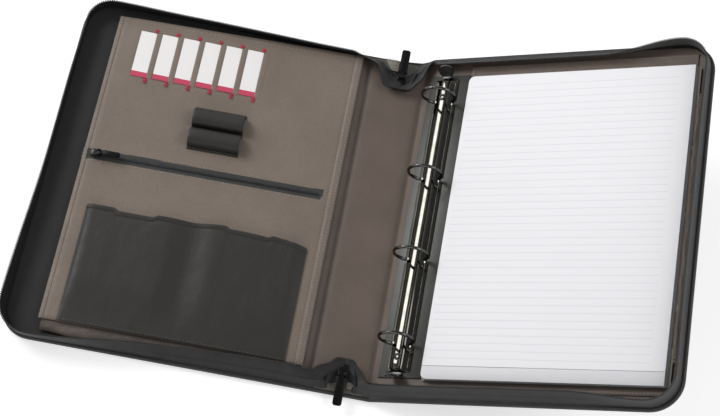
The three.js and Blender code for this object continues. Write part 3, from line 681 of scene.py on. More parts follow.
def notchStations(side, end):
    name = "back" if end > 0 else "front"
    sizes = notchSizes[name]
    low, high = localBox(f"spine_gusset_{name}", spinePlace)
    centre = (low.x + high.x) / 2
    floor = low.y if end > 0 else -high.y
    sign = 1 if side == "right" else -1
    flare, mouth, mouthY = (sizes[key][side] for key in ("flare", "mouth", "mouthY"))
    top = [(centre, floor + 0.2, 12.4), (centre + sign * flare * 0.85, floor + 0.8, 12.6),
           (centre + sign * (flare + 3), floor + 6, 13.0),
           (mix(centre + sign * flare, sign * mouth, 0.62), mix(floor, mouthY, 0.66), 13.6),
           (sign * mouth, mouthY, 14.2)]
    deep, footMouth = floor + sizes["footBeyond"], sizes["footMouth"][side]
    foot = [(centre, deep, 6.0), (mix(centre, sign * footMouth, 0.25), deep + 1.2, 6.0),
            (mix(centre, sign * footMouth, 0.55), mix(deep, 167, 0.35), 6.0),
            (mix(centre, sign * footMouth, 0.82), mix(deep, 167, 0.75), 6.0),
            (sign * footMouth, 167.4, 5.9)]
    made = []
    for f, t in zip(foot, top):
        pair = [Vector((sign * p[0] - spineHalf, end * p[1], p[2])) for p in (f, t)]
        made.append(pair)
    return made


def smoothLine(points, steps):
    """A smooth line through points, by Catmull-Rom spans."""
    ends = [2 * points[0] - points[1], *points, 2 * points[-1] - points[-2]]
    line = []
    for p0, p1, p2, p3 in zip(ends, ends[1:], ends[2:], ends[3:]):
        for k in range(steps):
            t = k / steps
            line.append(0.5 * (2 * p1 + (p2 - p0) * t + (2 * p0 - 5 * p1 + 4 * p2 - p3) * t * t
                               + (3 * p1 - p0 - 3 * p2 + p3) * t ** 3))
    line.append(points[-1])
    return line


def tapeLine(side):
    """The whole run of the tape: front notch, rim, back notch."""
    frontNotch = notchStations(side, -1)
    backNotch = notchStations(side, 1)
    count = round(rimLength() / zipSizes["step"])
    rim = [rimStation(side, rimLength() * k / count) for k in range(count + 1)]
    feet = smoothLine([p[0] for p in frontNotch] + [rim[0][0]], 4)[:-1]
    tops = smoothLine([p[1] for p in frontNotch] + [rim[0][1]], 4)[:-1]
    feet += [p[0] for p in rim]
    tops += [p[1] for p in rim]
    feet += smoothLine([rim[-1][0]] + [p[0] for p in reversed(backNotch)], 4)[1:]
    tops += smoothLine([rim[-1][1]] + [p[1] for p in reversed(backNotch)], 4)[1:]
    return feet, tops


def zipTape(side, onCover):
    sizes = zipSizes
    feet, tops = tapeLine(side)
    last = len(feet) - 1
    runs = [0]
    for a, b in zip(feet, feet[1:]):
        runs.append(runs[-1] + (b - a).length)

    def local(a, b):
        i = min(int(a * last + 0.5), last)
        foot, top = feet[i], tops[i]
        along = (feet[min(i + 1, last)] - feet[max(i - 1, 0)]).normalized()
        away = along.cross(top - foot).normalized()
        if side == "left":
            away = -away
        bow = 0.9 * math.sin(math.pi * b)
        ridge = sizes["ridge"] * math.exp(-((b - sizes["bindingShare"]) / 0.06) ** 2)
        ripple = 0.35 * noise.noise(Vector((runs[i] * 0.035, b, 3 if side == "left" else 9))) * b
        return foot.lerp(top, b) - away * (bow + ripple) * 0.6 + Vector((0, 0, 1)) * ridge

    rows = [0, 0.1, 0.2, 0.3, 0.36, 0.42, 0.48, 0.56, 0.7, 0.85, 1]
    columns = [i / last for i in range(last + 1)]
    bm = sheetGrid(columns, rows, lambda a, b: onCover(*local(a, b)), sizes["thickness"],
                   size=(runs[-1] * mm, 0.019), bands=[(sizes["bindingShare"], 1)])
    layer = bm.loops.layers.uv.active
    for face in bm.faces:
        along = sum(loop[layer].uv.x for loop in face.loops) / len(face.loops) / mm
        if side == "left" or not sizes["darkEnd"] < along < runs[-1] - sizes["darkEnd"]:
            face.material_index = 0
    tape = finishPiece(f"{side}ZipTape", bm, [darkTape if side == "left" else bindingLeather, tapeCloth],
                       fold=foldSpan(side), replaced=[f"{side}_zip_tape"], slot="zip_tape")

    teeth = bmesh.new()
    travelled = 0.0
    for i in range(last):
        a, b = tops[i], tops[i + 1]
        span = (b - a).length
        while travelled < span:
            point = a.lerp(b, travelled / span)
            foot = feet[i].lerp(feet[i + 1], travelled / span)
            up = (point - foot).normalized()
            along = (b - a).normalized()
            cross = along.cross(up).normalized()
            turn = Matrix((along, cross, up)).transposed().to_4x4()
            size = Matrix.Diagonal((sizes["toothLength"], sizes["toothWidth"], sizes["toothHeight"], 1))
            tooth = bmesh.ops.create_cube(teeth, size=1, matrix=Matrix.Translation(point + up * 0.55) @ turn @ size)
            travelled += sizes["toothPitch"]
        travelled -= span
    bmesh.ops.bevel(teeth, geom=teeth.edges[:], offset=0.3, offset_type="OFFSET", segments=1,
                    profile=0.5, affect="EDGES", material=-1)
    for vert in teeth.verts:
        vert.co = onCover(*vert.co)
    if side == "left":
        bmesh.ops.reverse_faces(teeth, faces=teeth.faces)
    finishPiece(f"{side}ZipTeeth", teeth, coilPlastic, fold=foldSpan(side),
                replaced=[f"{side}_zip_teeth"], slot="zip_teeth")


zipTape("left", onLeft)
zipTape("right", onRight)
print("zip tapes made")

# Organiser: the taupe panel with its hems, its seams, the zip's opening and the card slots.
flat = inPlace(spinePlace)
panelLow, panelHigh = localBox("organiser_panel", spinePlace)
cardBoxes = [localBox(f"insert_card_{i}", spinePlace) for i in range(1, 7)]
cardPitch = cardBoxes[1][0].x - cardBoxes[0][0].x
cardWidth = cardBoxes[0][1].x - cardBoxes[0][0].x
zipLow, zipHigh = localBox("pocket_zip_tape", spinePlace)
organiserSizes = {"thickness": 1.0, "hemWidth": 6.3, "hemRise": 0.5, "edgeHem": 0.3, "groove": 0.4, "wave": 0.3,
                  "edgeRoll": 0.8, "step": 3.4}
slotSizes = {"shown": 14.8, "rise": 1.15, "feather": 18, "lip": 0.38}
openingSizes = {"side": 0.8, "end": 1.6, "rise": 0.85, "feather": 9}
opening = (zipLow.x + openingSizes["end"], zipHigh.x - openingSizes["end"],
           zipLow.y + openingSizes["side"], zipHigh.y - openingSizes["side"])


def cardRise(x, y):
    low, high = cardBoxes[0][0], cardBoxes[-1][1]
    sizes = slotSizes
    across = max(low.x - x, x - high.x - 1.8, 0)
    along = max(low.y - y, y - high.y, 0)
    bar = sizes["rise"] * (1 - ease(0, sizes["feather"], math.hypot(across, along)))
    if across > 0 or along > 1.6:
        return bar
    past = (x - low.x) % cardPitch
    under = min(past / cardWidth, 1)
    ramped = mix(sizes["rise"], 0.05, under) if past < cardWidth + 0.2 else sizes["rise"]
    return mix(ramped, bar, ease(0.2, 1.6, along))


def openingRise(x, y):
    left, right, front, back = opening
    sizes = openingSizes
    away = math.hypot(max(left - x, x - right, 0), max(front - y, y - back, 0))
    if away == 0:
        return -0.3
    return sizes["rise"] * (1 - ease(1.2, sizes["feather"], away))


def organiserHeight(x, y):
    sizes = organiserSizes
    toInner, toOuter = panelHigh.x - x, x - panelLow.x
    toFront, toBack = y - panelLow.y, panelHigh.y - y
    nearest = min(toInner, toOuter, toFront, toBack)
    height = panelHigh.z + cardRise(x, y) + openingRise(x, y)
    height += sizes["wave"] * noise.noise(Vector((x * 0.022, y * 0.022, 1))) * ease(0, 12, nearest)
    height += sizes["hemRise"] * (1 - ease(sizes["hemWidth"] - 0.5, sizes["hemWidth"] + 0.5, toInner))
    for edge, hem in ((toInner, sizes["hemWidth"] + 0.9), (toBack, 4.6), (toOuter, 4.6)):
        height -= sizes["groove"] * math.exp(-((edge - hem) / 0.55) ** 2)
    pucker = 0.28 * math.sin(y * 0.9 + 2 * noise.noise(Vector((0, y * 0.1, 5))))
    height += pucker * math.exp(-((toOuter - 5) / 4) ** 2) * ease(60, -120, y)
    return height - sizes["edgeRoll"] * (1 - ease(0, 1.1, nearest))


def towardsBack(x, y):  # the panel's back edge is drawn out to the tape, most at the fold
    share = (x - panelLow.x) / (panelHigh.x - panelLow.x)
    return y + mix(1.2, 4.2, share) * ease(147, panelHigh.y, y)


def makeOrganiser():
    sizes = organiserSizes
    acrossMarks = [panelLow.x + d for d in (0.4, 1.1, 3.6, 4.2, 4.6, 5.0, 5.6)]
    acrossMarks += [panelHigh.x - d for d in (0.4, 1.1, 5.8, 6.3, 6.8, 7.2, 7.7, 8.3)]
    for low, high in cardBoxes:
        acrossMarks += [low.x, low.x + cardWidth, low.x + cardWidth + 0.4, low.x + cardPitch - 0.2]
    acrossMarks += [opening[0] - 0.15, opening[0], opening[1], opening[1] + 0.15]
    alongMarks = [panelLow.y + d for d in (0.4, 1.1)]
    alongMarks += [panelHigh.y - d for d in (0.4, 1.1, 3.6, 4.2, 4.6, 5.0, 5.6)]
    low, high = cardBoxes[0]
    alongMarks += [low.y - 1.6, low.y - 0.8, low.y, high.y, high.y + 0.8, high.y + 1.6]
    alongMarks += [opening[2] - 0.15, opening[2], opening[3], opening[3] + 0.15]
    columns = placesAt(panelLow.x, panelHigh.x, acrossMarks, sizes["step"])
    rows = placesAt(panelLow.y, panelHigh.y, alongMarks, sizes["step"])

    def shape(a, b):
        x, y = mix(panelLow.x, panelHigh.x, a), mix(panelLow.y, panelHigh.y, b)
        return flat(x, towardsBack(x, y), organiserHeight(x, y))

    size = ((panelHigh.x - panelLow.x) * mm, (panelHigh.y + 4.2 - panelLow.y) * mm)
    bm = sheetGrid(columns, rows, shape, sizes["thickness"], size=size)
    panel = finishPiece("organiserPanel", bm, taupeLeather, "left_cover",
                        replaced=["organiser_panel", "card_slot_panel"], slot="taupe_lining", sharp=60)


def makeSlotLips():
    sizes = slotSizes
    bm = bmesh.new()
    for low, high in cardBoxes:
        start, stop = low.x + sizes["shown"], low.x + cardPitch + 0.8
        across = placesAt(start, stop, [start + 0.25, start + 0.6, stop - 1.6], 1.2)
        along = placesAt(low.y - 2.2, high.y + 2.2, [low.y - 1, high.y + 1], 4)

        def shape(a, b):
            x, y = mix(start, stop, a), mix(low.y - 2.2, high.y + 2.2, b)
            lift = panelHigh.z + sizes["rise"] + sizes["lip"]
            lift -= 0.3 * (1 - ease(0, 0.6, x - start)) + 0.5 * ease(stop - 1.8, stop, x)
            lift -= 0.45 * (ease(low.y - 0.8, low.y - 2.2, y) + ease(high.y + 0.8, high.y + 2.2, y))
            return flat(x, y, lift)

        strip = sheetGrid(across, along, shape, 0.35, size=((stop - start) * mm, (high.y - low.y) * mm))
        mesh = bpy.data.meshes.new("lip")
        strip.to_mesh(mesh)
        strip.free()
        bm.from_mesh(mesh)
        bpy.data.meshes.remove(mesh)
    lips = finishPiece("cardSlotLips", bm, taupeLeather, "left_cover", slot="taupe_lining", sharp=60)


def makeTacks():
    bm = bmesh.new()
    for low, high in cardBoxes:
        lip = low.x + slotSizes["shown"]
        for edge, way, length in ((high.y, 1, 3.6), (low.y, -1, 5.2)):
            for k in range(6):
                y = edge + way * (0.3 + length * (k + 0.5) / 6)
                top = panelHigh.z + slotSizes["rise"] + slotSizes["lip"] + 0.1
                slant = 0.35 * (-1) ** k
                stitchRun(bm, [(lip - 2.4, y - slant, top), (lip + 1.3, y + slant, top)], pitch=3.7, length=3.9,
                          width=1.1, lift=0.5, place=spinePlace)
    finishPiece("cardSlotTacks", bm, tackThread, "left_cover", slot="card_white")


def makeCard(index, low, high):
    sizes = slotSizes
    node = f"insert_card_{index + 1}"
    length = high.y - low.y
    across = placesAt(0, cardWidth, [0.4, cardWidth - 0.4], 2.4)
    along = placesAt(0, length, [0.4, 5.2, 5.25, length - 0.4], 4)

    def shape(a, b):
        x, y = a * cardWidth, b * length
        under = mix(sizes["rise"], 0.05, a) + 0.35
        bow = 0.22 * math.sin(math.pi * b) * (1 - a) + 0.15 * noise.noise(Vector((index * 3.1, b * 2, a)))
        return flat(low.x + x, low.y + y, panelHigh.z + under + bow + 0.3)

    bm = sheetGrid(across, along, shape, 0.3, size=(cardWidth * mm, length * mm))
    layer = bm.loops.layers.uv.active
    for face in bm.faces:
        if all(loop[layer].uv.y < 0.00523 for loop in face.loops):
            face.material_index = 1
    finishPiece(f"insertCard{index + 1}", bm, [cardStock, cardRed], f"card_{index + 1}",
                replaced=[node], slot="card_white", sharp=50)


makeOrganiser()
makeSlotLips()
makeTacks()
for index, (low, high) in enumerate(cardBoxes):
    makeCard(index, low, high)
print("organiser panel and cards made")

# The sleeve's soft wall: it bulges out below the panel at the front, and stays close elsewhere.
gussetSizes = {"inset": 3.2, "corner": 7, "frontBulge": 14.5, "frontBulgeInner": 6.5, "otherBulge": 1.4,
               "top": 9.5, "bottom": 5.75, "thickness": 0.7}


def makeGusset():
    sizes = gussetSizes
    low = Vector((panelLow.x + sizes["inset"], panelLow.y + sizes["inset"]))
    high = Vector((panelHigh.x - sizes["inset"], panelHigh.y - sizes["inset"]))
    corner, straight = sizes["corner"], high.x - low.x - sizes["corner"]
    side, turn = high.y - low.y - 2 * sizes["corner"], sizes["corner"] * math.pi / 2
    total = 2 * straight + side + 2 * turn

    def along(distance):
        if distance <= straight:
            return Vector((low.x + distance, low.y)), Vector((0, -1))
        distance -= straight
        if distance <= turn:
            out = Vector((math.sin(distance / corner), -math.cos(distance / corner)))
            return Vector((high.x - corner, low.y + corner)) + out * corner, out
        distance -= turn
        if distance <= side:
            return Vector((high.x, low.y + corner + distance)), Vector((1, 0))
        distance -= side
        if distance <= turn:
            out = Vector((math.cos(distance / corner), math.sin(distance / corner)))
            return Vector((high.x - corner, high.y - corner)) + out * corner, out
        return Vector((high.x - corner - (distance - turn), high.y)), Vector((0, 1))

    def shape(a, b):
        distance = a * total
        point, out = along(distance)
        front = 1 - ease(straight, straight + turn + 8, distance)
        bulge = mix(sizes["otherBulge"], mix(sizes["frontBulge"], sizes["frontBulgeInner"],
                    ease(0, straight, distance)), front)
        wrinkle = noise.noise(Vector((distance * 0.035, b * 1.5, 2))) * 0.22 * bulge
        fold = math.sin(math.pi * b) ** 0.8
        lift = 1.3 * front * math.exp(-((b - 0.24) / 0.1) ** 2) + 0.35 * front * noise.noise(Vector((distance * 0.06, b * 3, 6)))
        place = point + out * (sizes["inset"] * 0.5 * (1 - front) + (bulge + wrinkle) * fold)
        return flat(place.x, place.y, mix(sizes["top"], sizes["bottom"], b) + lift * fold)

    count = round(total / 4)
    bm = sheetGrid(even(count), even(12), shape, 0, size=(total * mm, 0.02), facing=Vector((0, 0, 1)))
    bmesh.ops.solidify(bm, geom=bm.faces[:], thickness=sizes["thickness"] * mm)
    gusset = finishPiece("organiserGusset", bm, taupeFoldLeather, "left_cover", replaced=["organiser_gusset"],
                         slot="taupe_fabric", sharp=60)


makeGusset()

# Stitching on the organiser.
stitchSizes = {"pitch": 3.1, "length": 2.2, "width": 0.8}


def organiserRun(bm, points, **sizes):
    run = []
    for (x0, y0), (x1, y1) in zip(points, points[1:]):
        count = max(1, round(math.hypot(x1 - x0, y1 - y0) / 12.4))
        for k in range(count):
            x, y = mix(x0, x1, k / count), mix(y0, y1, k / count)
            run.append((x, towardsBack(x, y), organiserHeight(x, y)))
    x, y = points[-1]
    run.append((x, towardsBack(x, y), organiserHeight(x, y)))
    stitchRun(bm, run, place=spinePlace, **{**stitchSizes, **sizes})


def makeOrganiserStitches():
    bm = bmesh.new()
    low, high = panelLow, panelHigh
    hem = organiserSizes["hemWidth"]
    for inset in (1.6, hem - 1.3):
        organiserRun(bm, [(high.x - inset, low.y + 2), (high.x - inset, high.y - 2)])
    organiserRun(bm, [(low.x + 3.2, high.y - 3.2), (high.x - hem - 2, high.y - 3.2)])
    organiserRun(bm, [(low.x + 3.2, low.y + 2), (low.x + 3.2, high.y - 4)])
    left, right, front, back = opening
    organiserRun(bm, [(low.x + 4, front - 1.6), (right + 1.8, front - 1.6), (right + 1.8, back + 1.6),
                      (low.x + 4, back + 1.6)])
    organiserRun(bm, [(right + 1.8, front - 1.6), (high.x - hem - 2, front - 1.6)])
    organiserRun(bm, [(right + 6.5, front - 4), (right + 6.5, back + 3)])
    for k in range(2):
        organiserRun(bm, [(left - 1.6 - 2.2 * k, front - 1), (left - 1.6 - 2.2 * k, back + 1)])
    organiserRun(bm, [(low.x + 2, low.y + 1.8), (high.x - 2, low.y + 1.8)])
    finishPiece("organiserStitches", bm, threadLight, "left_cover", slot="taupe_lining")


makeOrganiserStitches()
print("organiser gusset and stitches made")

# Pen loops: one strip in two arches.
loopLow, loopHigh = localBox("pen_loops", spinePlace)
loopSizes = {"foot": 2.6, "middle": 2.6, "wall": 1.0, "squareness": 2.5}


def makeLoops():
    sizes = loopSizes
    width = loopHigh.y - loopLow.y
    rise = loopHigh.z - loopLow.z - sizes["wall"]
    archSpan = (width - 2 * sizes["foot"] - sizes["middle"]) / 2
    profile = [(0, 0), (sizes["foot"] * 0.6, 0)]
    for k in range(2):
        start = sizes["foot"] + k * (archSpan + sizes["middle"])
        for i in range(25):
            angle = math.pi * (1 - i / 24)
            c, s = math.cos(angle), math.sin(angle)
            power = 2 / sizes["squareness"]
            across = math.copysign(abs(c) ** power, c)
            profile.append((start + archSpan * (0.5 + across / 2), (s ** power) * rise))
        profile.append((start + archSpan + (sizes["middle"] / 2 if k == 0 else sizes["foot"] * 0.4), 0))
    profile.append((width, 0))
    length = loopHigh.x - loopLow.x
    columns = placesAt(0, length, [0.4, 1, 2.2, length - 0.4, length - 1, length - 2.2], 4)
    last = len(profile) - 1

    def shape(a, b):
        y, h = profile[min(round(b * last), last)]
        x = a * length
        edge = min(x, length - x)
        sag = 0.35 * noise.noise(Vector((a * 2, b * 3, 4))) * min(h, 3) / 3
        lip = 0.25 * (1 - ease(0, 1, edge)) - 0.18 * math.exp(-((edge - 2.2) / 0.6) ** 2)
        return flat(loopLow.x + x, loopLow.y + y, loopLow.z + sizes["wall"] + h * (1 - lip * 0.1) + sag - 0.15)

    bm = sheetGrid(columns, even(last), shape, sizes["wall"], size=(length * mm, 0.075))
    loops = finishPiece("penLoops", bm, pocketLeather, "left_cover", replaced=["pen_loops"],
                        slot="pocket_leather", sharp=60)
    seams = bmesh.new()
    middle = loopLow.y + width / 2
    for y in (loopLow.y + 1.1, middle, loopHigh.y - 1.1):
        stitchRun(seams, [(loopLow.x + 1.5, y, loopLow.z + 1.1), (loopHigh.x - 1.5, y, loopLow.z + 1.1)],
                  place=spinePlace, **stitchSizes)
    finishPiece("penLoopStitches", seams, threadDark, "left_cover", slot="pocket_leather")


makeLoops()

# The zipped pocket's tape and coil; its slider and pull are made with the ring mechanism.
pocketZipSizes = {"toothPitch": 1.5, "toothSize": (0.62, 1.75, 0.5)}
coilLow, coilHigh = localBox("pocket_zip_coil", spinePlace)


def makePocketZip():
    def shape(a, b):
        x, y = mix(zipLow.x, zipHigh.x, a), mix(zipLow.y, zipHigh.y, b)
        return flat(x, y, zipHigh.z - 0.35 + 0.12 * noise.noise(Vector((x * 0.05, y * 0.3, 2))))

    size = ((zipHigh.x - zipLow.x) * mm, (zipHigh.y - zipLow.y) * mm)
    bm = sheetGrid(even(60), even(10), shape, 0.4, size=size)
    tape = finishPiece("pocketZipTape", bm, tapeCloth, "left_cover", replaced=["pocket_zip_tape"], slot="zip_tape")
    teeth = bmesh.new()
    middle = (coilLow.y + coilHigh.y) / 2
    count = round((coilHigh.x - coilLow.x) / pocketZipSizes["toothPitch"])
    long, wide, high = pocketZipSizes["toothSize"]
    for k in range(count):
        x = mix(coilLow.x, coilHigh.x, (k + 0.5) / count)
        side = 0.35 if k % 2 else -0.35
        spot = spinePlace @ Matrix.Translation((x, middle + side, coilLow.z + high)) @ Matrix.Diagonal(
            (long, wide, high, 1))
        bmesh.ops.create_icosphere(teeth, subdivisions=1, radius=1, matrix=spot)
    finishPiece("pocketZipCoil", teeth, coilPlastic, "left_cover", replaced=["pocket_zip_coil"], slot="zip_teeth")


makePocketZip()
print("pen loops and pocket zip made")

# Patch pockets: crowned leather with a turned hem along the mouth, and a thumb notch.
pocketSizes = {
    "phone_pocket": {"notch": (0.27, 0.65), "notchDepth": 2.6, "crown": 2.8, "outerRise": 0.05,
                     "innerRise": 0.22, "bow": 0.0},
    "cable_pocket": {"notch": (0.28, 0.68), "notchDepth": 2.6, "crown": 2.5, "outerRise": 0.2,
                     "innerRise": 0.1, "bow": 1.0},
}
pocketWall = {"thickness": 0.8, "hem": 4.0, "hemRise": 0.35, "groove": 0.3, "foot": 0.55}


def makePocket(node, piece):
    low, high = localBox(node, spinePlace)
    high.x += 0.25 if node == "phone_pocket" else 0  # meets the next pocket's seam
    sizes = pocketSizes[node]
    width, height = high.x - low.x, high.y - low.y
    mesh = frame["nodes"][node].data
    top = [(v.co.x / mm, v.co.y / mm) for v in mesh.vertices if v.co.y / mm > high.y - 14]
    rightMouth = max(y for x, y in top if x > high.x - 2)
    leftMouth = max(y for x, y in top if x < low.x + 0.5)

    def mouthAt(a):
        bow = sizes["bow"] * 0.5 * (2 * high.y - leftMouth - rightMouth) * 4 * a * (1 - a)
        start, stop = sizes["notch"]
        notch = ease(start - 0.012, start + 0.03, a) * ease(stop + 0.012, stop - 0.03, a)
        return mix(leftMouth, rightMouth, a) + bow - sizes["notchDepth"] * notch

    def shape(a, b):
        x = low.x + a * width
        y = mix(low.y + 0.3, mouthAt(a), b)
        toMouth = mouthAt(a) - y
        rise = ease(0, sizes["outerRise"], a) * ease(1, 1 - sizes["innerRise"], a)
        belly = ease(0, 0.42, b) * mix(1, 0.9, ease(0.7, 1, b))
        crown = sizes["crown"] * rise * belly
        wrinkles = 0.45 * noise.noise(Vector((x * 0.03, y * 0.014, 3))) + 0.2 * noise.noise(
            Vector((x * 0.09, y * 0.03, 8)))
        hem = pocketWall["hemRise"] * (1 - ease(pocketWall["hem"] - 0.3, pocketWall["hem"] + 0.3, toMouth))
        groove = pocketWall["groove"] * math.exp(-((toMouth - pocketWall["hem"] - 0.6) / 0.5) ** 2)
        edge = min(a * width, (1 - a) * width)
        fromOuter = (a if node == "phone_pocket" else 1 - a) * width
        return flat(x, y, low.z + pocketWall["thickness"] + pocketWall["foot"] * ease(0, 2, fromOuter) + crown
                    + wrinkles * ease(0, 8, edge) * ease(0, 0.06, b) + hem - groove)

    start, stop = sizes["notch"]
    marks = [m * width for m in (start - 0.012, start + 0.01, start + 0.03, stop - 0.03, stop - 0.01, stop + 0.012)]
    columns = placesAt(0, width, [0.5, 1.5, 3, width - 3, width - 1.5, width - 0.5, *marks], 3.4)
    edgeMarks = [height - d for d in (0.4, 1.2, 3.7, 4.1, 4.5, 4.9, 5.4)]
    rows = placesAt(0, height, [0.5, 1.5, *edgeMarks], 3.4)
    bm = sheetGrid(columns, rows, shape, pocketWall["thickness"], size=(width * mm, height * mm))
    pocket = finishPiece(piece, bm, pocketLeather, "left_cover", replaced=[node], slot="pocket_leather", sharp=60)
    seams = bmesh.new()
    surface = [(shape(a, 0.012) - spinePlace.translation) / mm for a in even(9)]
    stitchRun(seams, surface, place=spinePlace, **stitchSizes)
    finishPiece(f"{piece}Stitches", seams, pocketThread, "left_cover", slot="pocket_leather")


makePocket("phone_pocket", "phonePocket")
makePocket("cable_pocket", "cablePocket")
print("patch pockets made")

# Ring mechanism: plate, rail, rivets, rings, levers.
ringSizes = {"footAngle": 54.1, "tipGap": 0.6, "wireSides": 14, "arcSteps": 34}
rivetSizes = {"head": 3.3, "bore": 1.5, "steps": 32}
railSizes = {"topHalf": 2.7, "slotNear": 7.2, "slotHalf": 2.6, "nose": 6}


def capped(bm):
    open_ = [e for e in bm.edges if e.is_boundary]
    bmesh.ops.holes_fill(bm, edges=open_, sides=0)
    bmesh.ops.remove_doubles(bm, verts=bm.verts, dist=0.001)
    bmesh.ops.recalc_face_normals(bm, faces=bm.faces)


def makeRing(number):
    sizes = ringSizes
    leftLow, leftHigh = localBox(f"ring_{number}_left_half", rightPlace)
    rightHigh = localBox(f"ring_{number}_right_half", rightPlace)[1]
    wire = leftHigh.y - leftLow.y
    middle = Vector(((leftLow.x + rightHigh.x) / 2, (leftLow.y + leftHigh.y) / 2, 0))
    radius = (rightHigh.x - leftLow.x - wire) / 2
    middle.z = leftHigh.z - radius - wire / 2
    foot = math.radians(sizes["footAngle"])
    sweep = math.pi / 2 - sizes["tipGap"] / 2 / radius + foot
    for name, side in (("left", -1), ("right", 1)):
        bm = bmesh.new()
        turn = Matrix.Rotation(side * foot, 4, "Y")
        start = Matrix.Translation(middle) @ turn @ Matrix.Translation((side * radius, 0, 0))
        bmesh.ops.create_circle(bm, segments=sizes["wireSides"], radius=wire / 2, cap_ends=False, matrix=start)
        bmesh.ops.spin(bm, geom=bm.verts[:] + bm.edges[:], cent=middle, axis=(0, -side, 0), angle=sweep,
                       steps=sizes["arcSteps"], use_merge=False)
        capped(bm)
        bmesh.ops.transform(bm, matrix=rightPlace, verts=bm.verts)
        finishPiece(f"ring{number}{name.capitalize()}", bm, nickel, f"ring_jaw_{name}",
                    replaced=[f"ring_{number}_{name}_half"], slot="black_nickel", sharp=60)


def makeRivet(end):
    node = f"rail_rivet_{end}"
    low, high = localBox(node, rightPlace)
    middle = Vector(((low.x + high.x) / 2, (low.y + high.y) / 2, 0))
    sizes = rivetSizes
    head, top = sizes["head"], high.z
    profile = [(0, top - 1.3), (1.1, top - 1.2), (1.5, top - 0.35), (2.0, top), (2.6, top - 0.1), (head, top - 0.9),
               (head, top - 1.8), (head - 0.7, top - 2.2), (sizes["bore"], top - 2.3), (sizes["bore"], low.z),
               (0, low.z)]
    bm = bmesh.new()
    points = [bm.verts.new(middle + Vector((r, 0, h))) for r, h in profile]
    for a, b in zip(points, points[1:]):
        bm.edges.new((a, b))
    bmesh.ops.spin(bm, geom=bm.verts[:] + bm.edges[:], cent=middle, axis=(0, 0, 1), angle=2 * math.pi,
                   steps=sizes["steps"], use_merge=True)
    bmesh.ops.remove_doubles(bm, verts=bm.verts, dist=0.001)
    bmesh.ops.recalc_face_normals(bm, faces=bm.faces)
    bmesh.ops.transform(bm, matrix=rightPlace, verts=bm.verts)
    finishPiece(f"railRivet{end.capitalize()}", bm, nickel, "right_cover", replaced=[node], slot="black_nickel")


def makeRail():
    low, high = localBox("ring_rail", rightPlace)
    sizes = railSizes
    middle, rise, halfWidth = (low.x + high.x) / 2, high.z - low.z, (high.x - low.x) / 2
    top = sizes["topHalf"]
    profile = [(-halfWidth, 0.0), (-halfWidth + 0.35, 0.14)]
    profile += [(-halfWidth + 0.9 + (halfWidth - 0.9 - top - 0.5) * math.sin(a) ** 1.2, 0.16 + 0.72 * (1 - math.cos(a)) ** 0.8)
                for a in (math.pi / 2 * k / 6 for k in range(7))]
    profile += [(-top - 0.15, 0.9), (-top + 0.15, 0.955), (-top * 0.5, 0.985), (0.0, 1.0)]
    profile += [(-x, h) for x, h in reversed(profile[:-1])]
    last = len(profile) - 1
    rings = []
    for number in (1, 2, 3, 4):
        ringLow, ringHigh = localBox(f"ring_{number}_left_half", rightPlace)
        rings.append((ringLow.y + ringHigh.y) / 2)
    marks = [y + s * sizes["slotHalf"] for y in rings for s in (-1, 1)]
    marks += [s * (high.y - d) for s in (-1, 1) for d in (0.3, 0.8, 1.6, 2.6, 4, 6)]
    rows = placesAt(low.y, high.y, marks, 12)

    def shape(a, b):
        u, h = profile[round(a * last)]
        y = mix(low.y, high.y, b)
        toEnd = min(y - low.y, high.y - y, sizes["nose"]) / sizes["nose"]
        drop = math.sqrt(max(1 - (1 - toEnd) ** 2, 0))
        return rightPlace @ Vector((middle + u, y, low.z + rise * mix(h * 0.3, h, drop)))

    columns = [i / last for i in range(last + 1)]
    bm = sheetGrid(columns, rows, shape, 0, size=(0.03, 0.29), facing=rightPlace.to_3x3() @ Vector((0, 0, 1)))
    back = rightPlace.inverted()
    slots = []
    for face in bm.faces:
        middleOf = back @ face.calc_center_median()
        if abs(middleOf.x - middle) > sizes["slotNear"] and any(abs(middleOf.y - y) < sizes["slotHalf"] for y in rings):
            slots.append(face)
    bmesh.ops.delete(bm, geom=slots, context="FACES")
    bmesh.ops.solidify(bm, geom=bm.faces[:], thickness=0.9 * mm)
    finishPiece("ringRail", bm, railNickel, "right_cover", replaced=["ring_rail"], slot="black_nickel", sharp=32)


for number in (1, 2, 3, 4):
    makeRing(number)
for end in ("back", "front"):
    makeRivet(end)
    polished(f"ring_lever_{end}", leverPlastic, f"lever_{end}", bevel=0.7, segments=3)
    polished(f"zip_slider_{end}", zipMetal, "spine", bevel=0.4)
    polished(f"zip_pull_{end}", zipMetal, f"pull_{end}", bevel=0.5)
polished("pocket_zip_slider", zipMetal, "pocket_slider", bevel=0.35)
polished("pocket_zip_pull", zipMetal, "pocket_pull", bevel=0.4)
polished("ring_base_plate", plateFinish, "right_cover", bevel=0.3)
makeRail()
print("ring mechanism and sliders made")

# Writing pad: a block of ruled sheets with rounded corners on the ring side, bound across the front.
padSizes = {"corner": 5.5, "edge": 0.35, "fan": 1.7}
sheetsLow, sheetsHigh = localBox("pad_sheets", rightPlace)
padRuled = ruledPaper("ruledPaper", colours["paper"], sheetsLow, sheetsHigh)


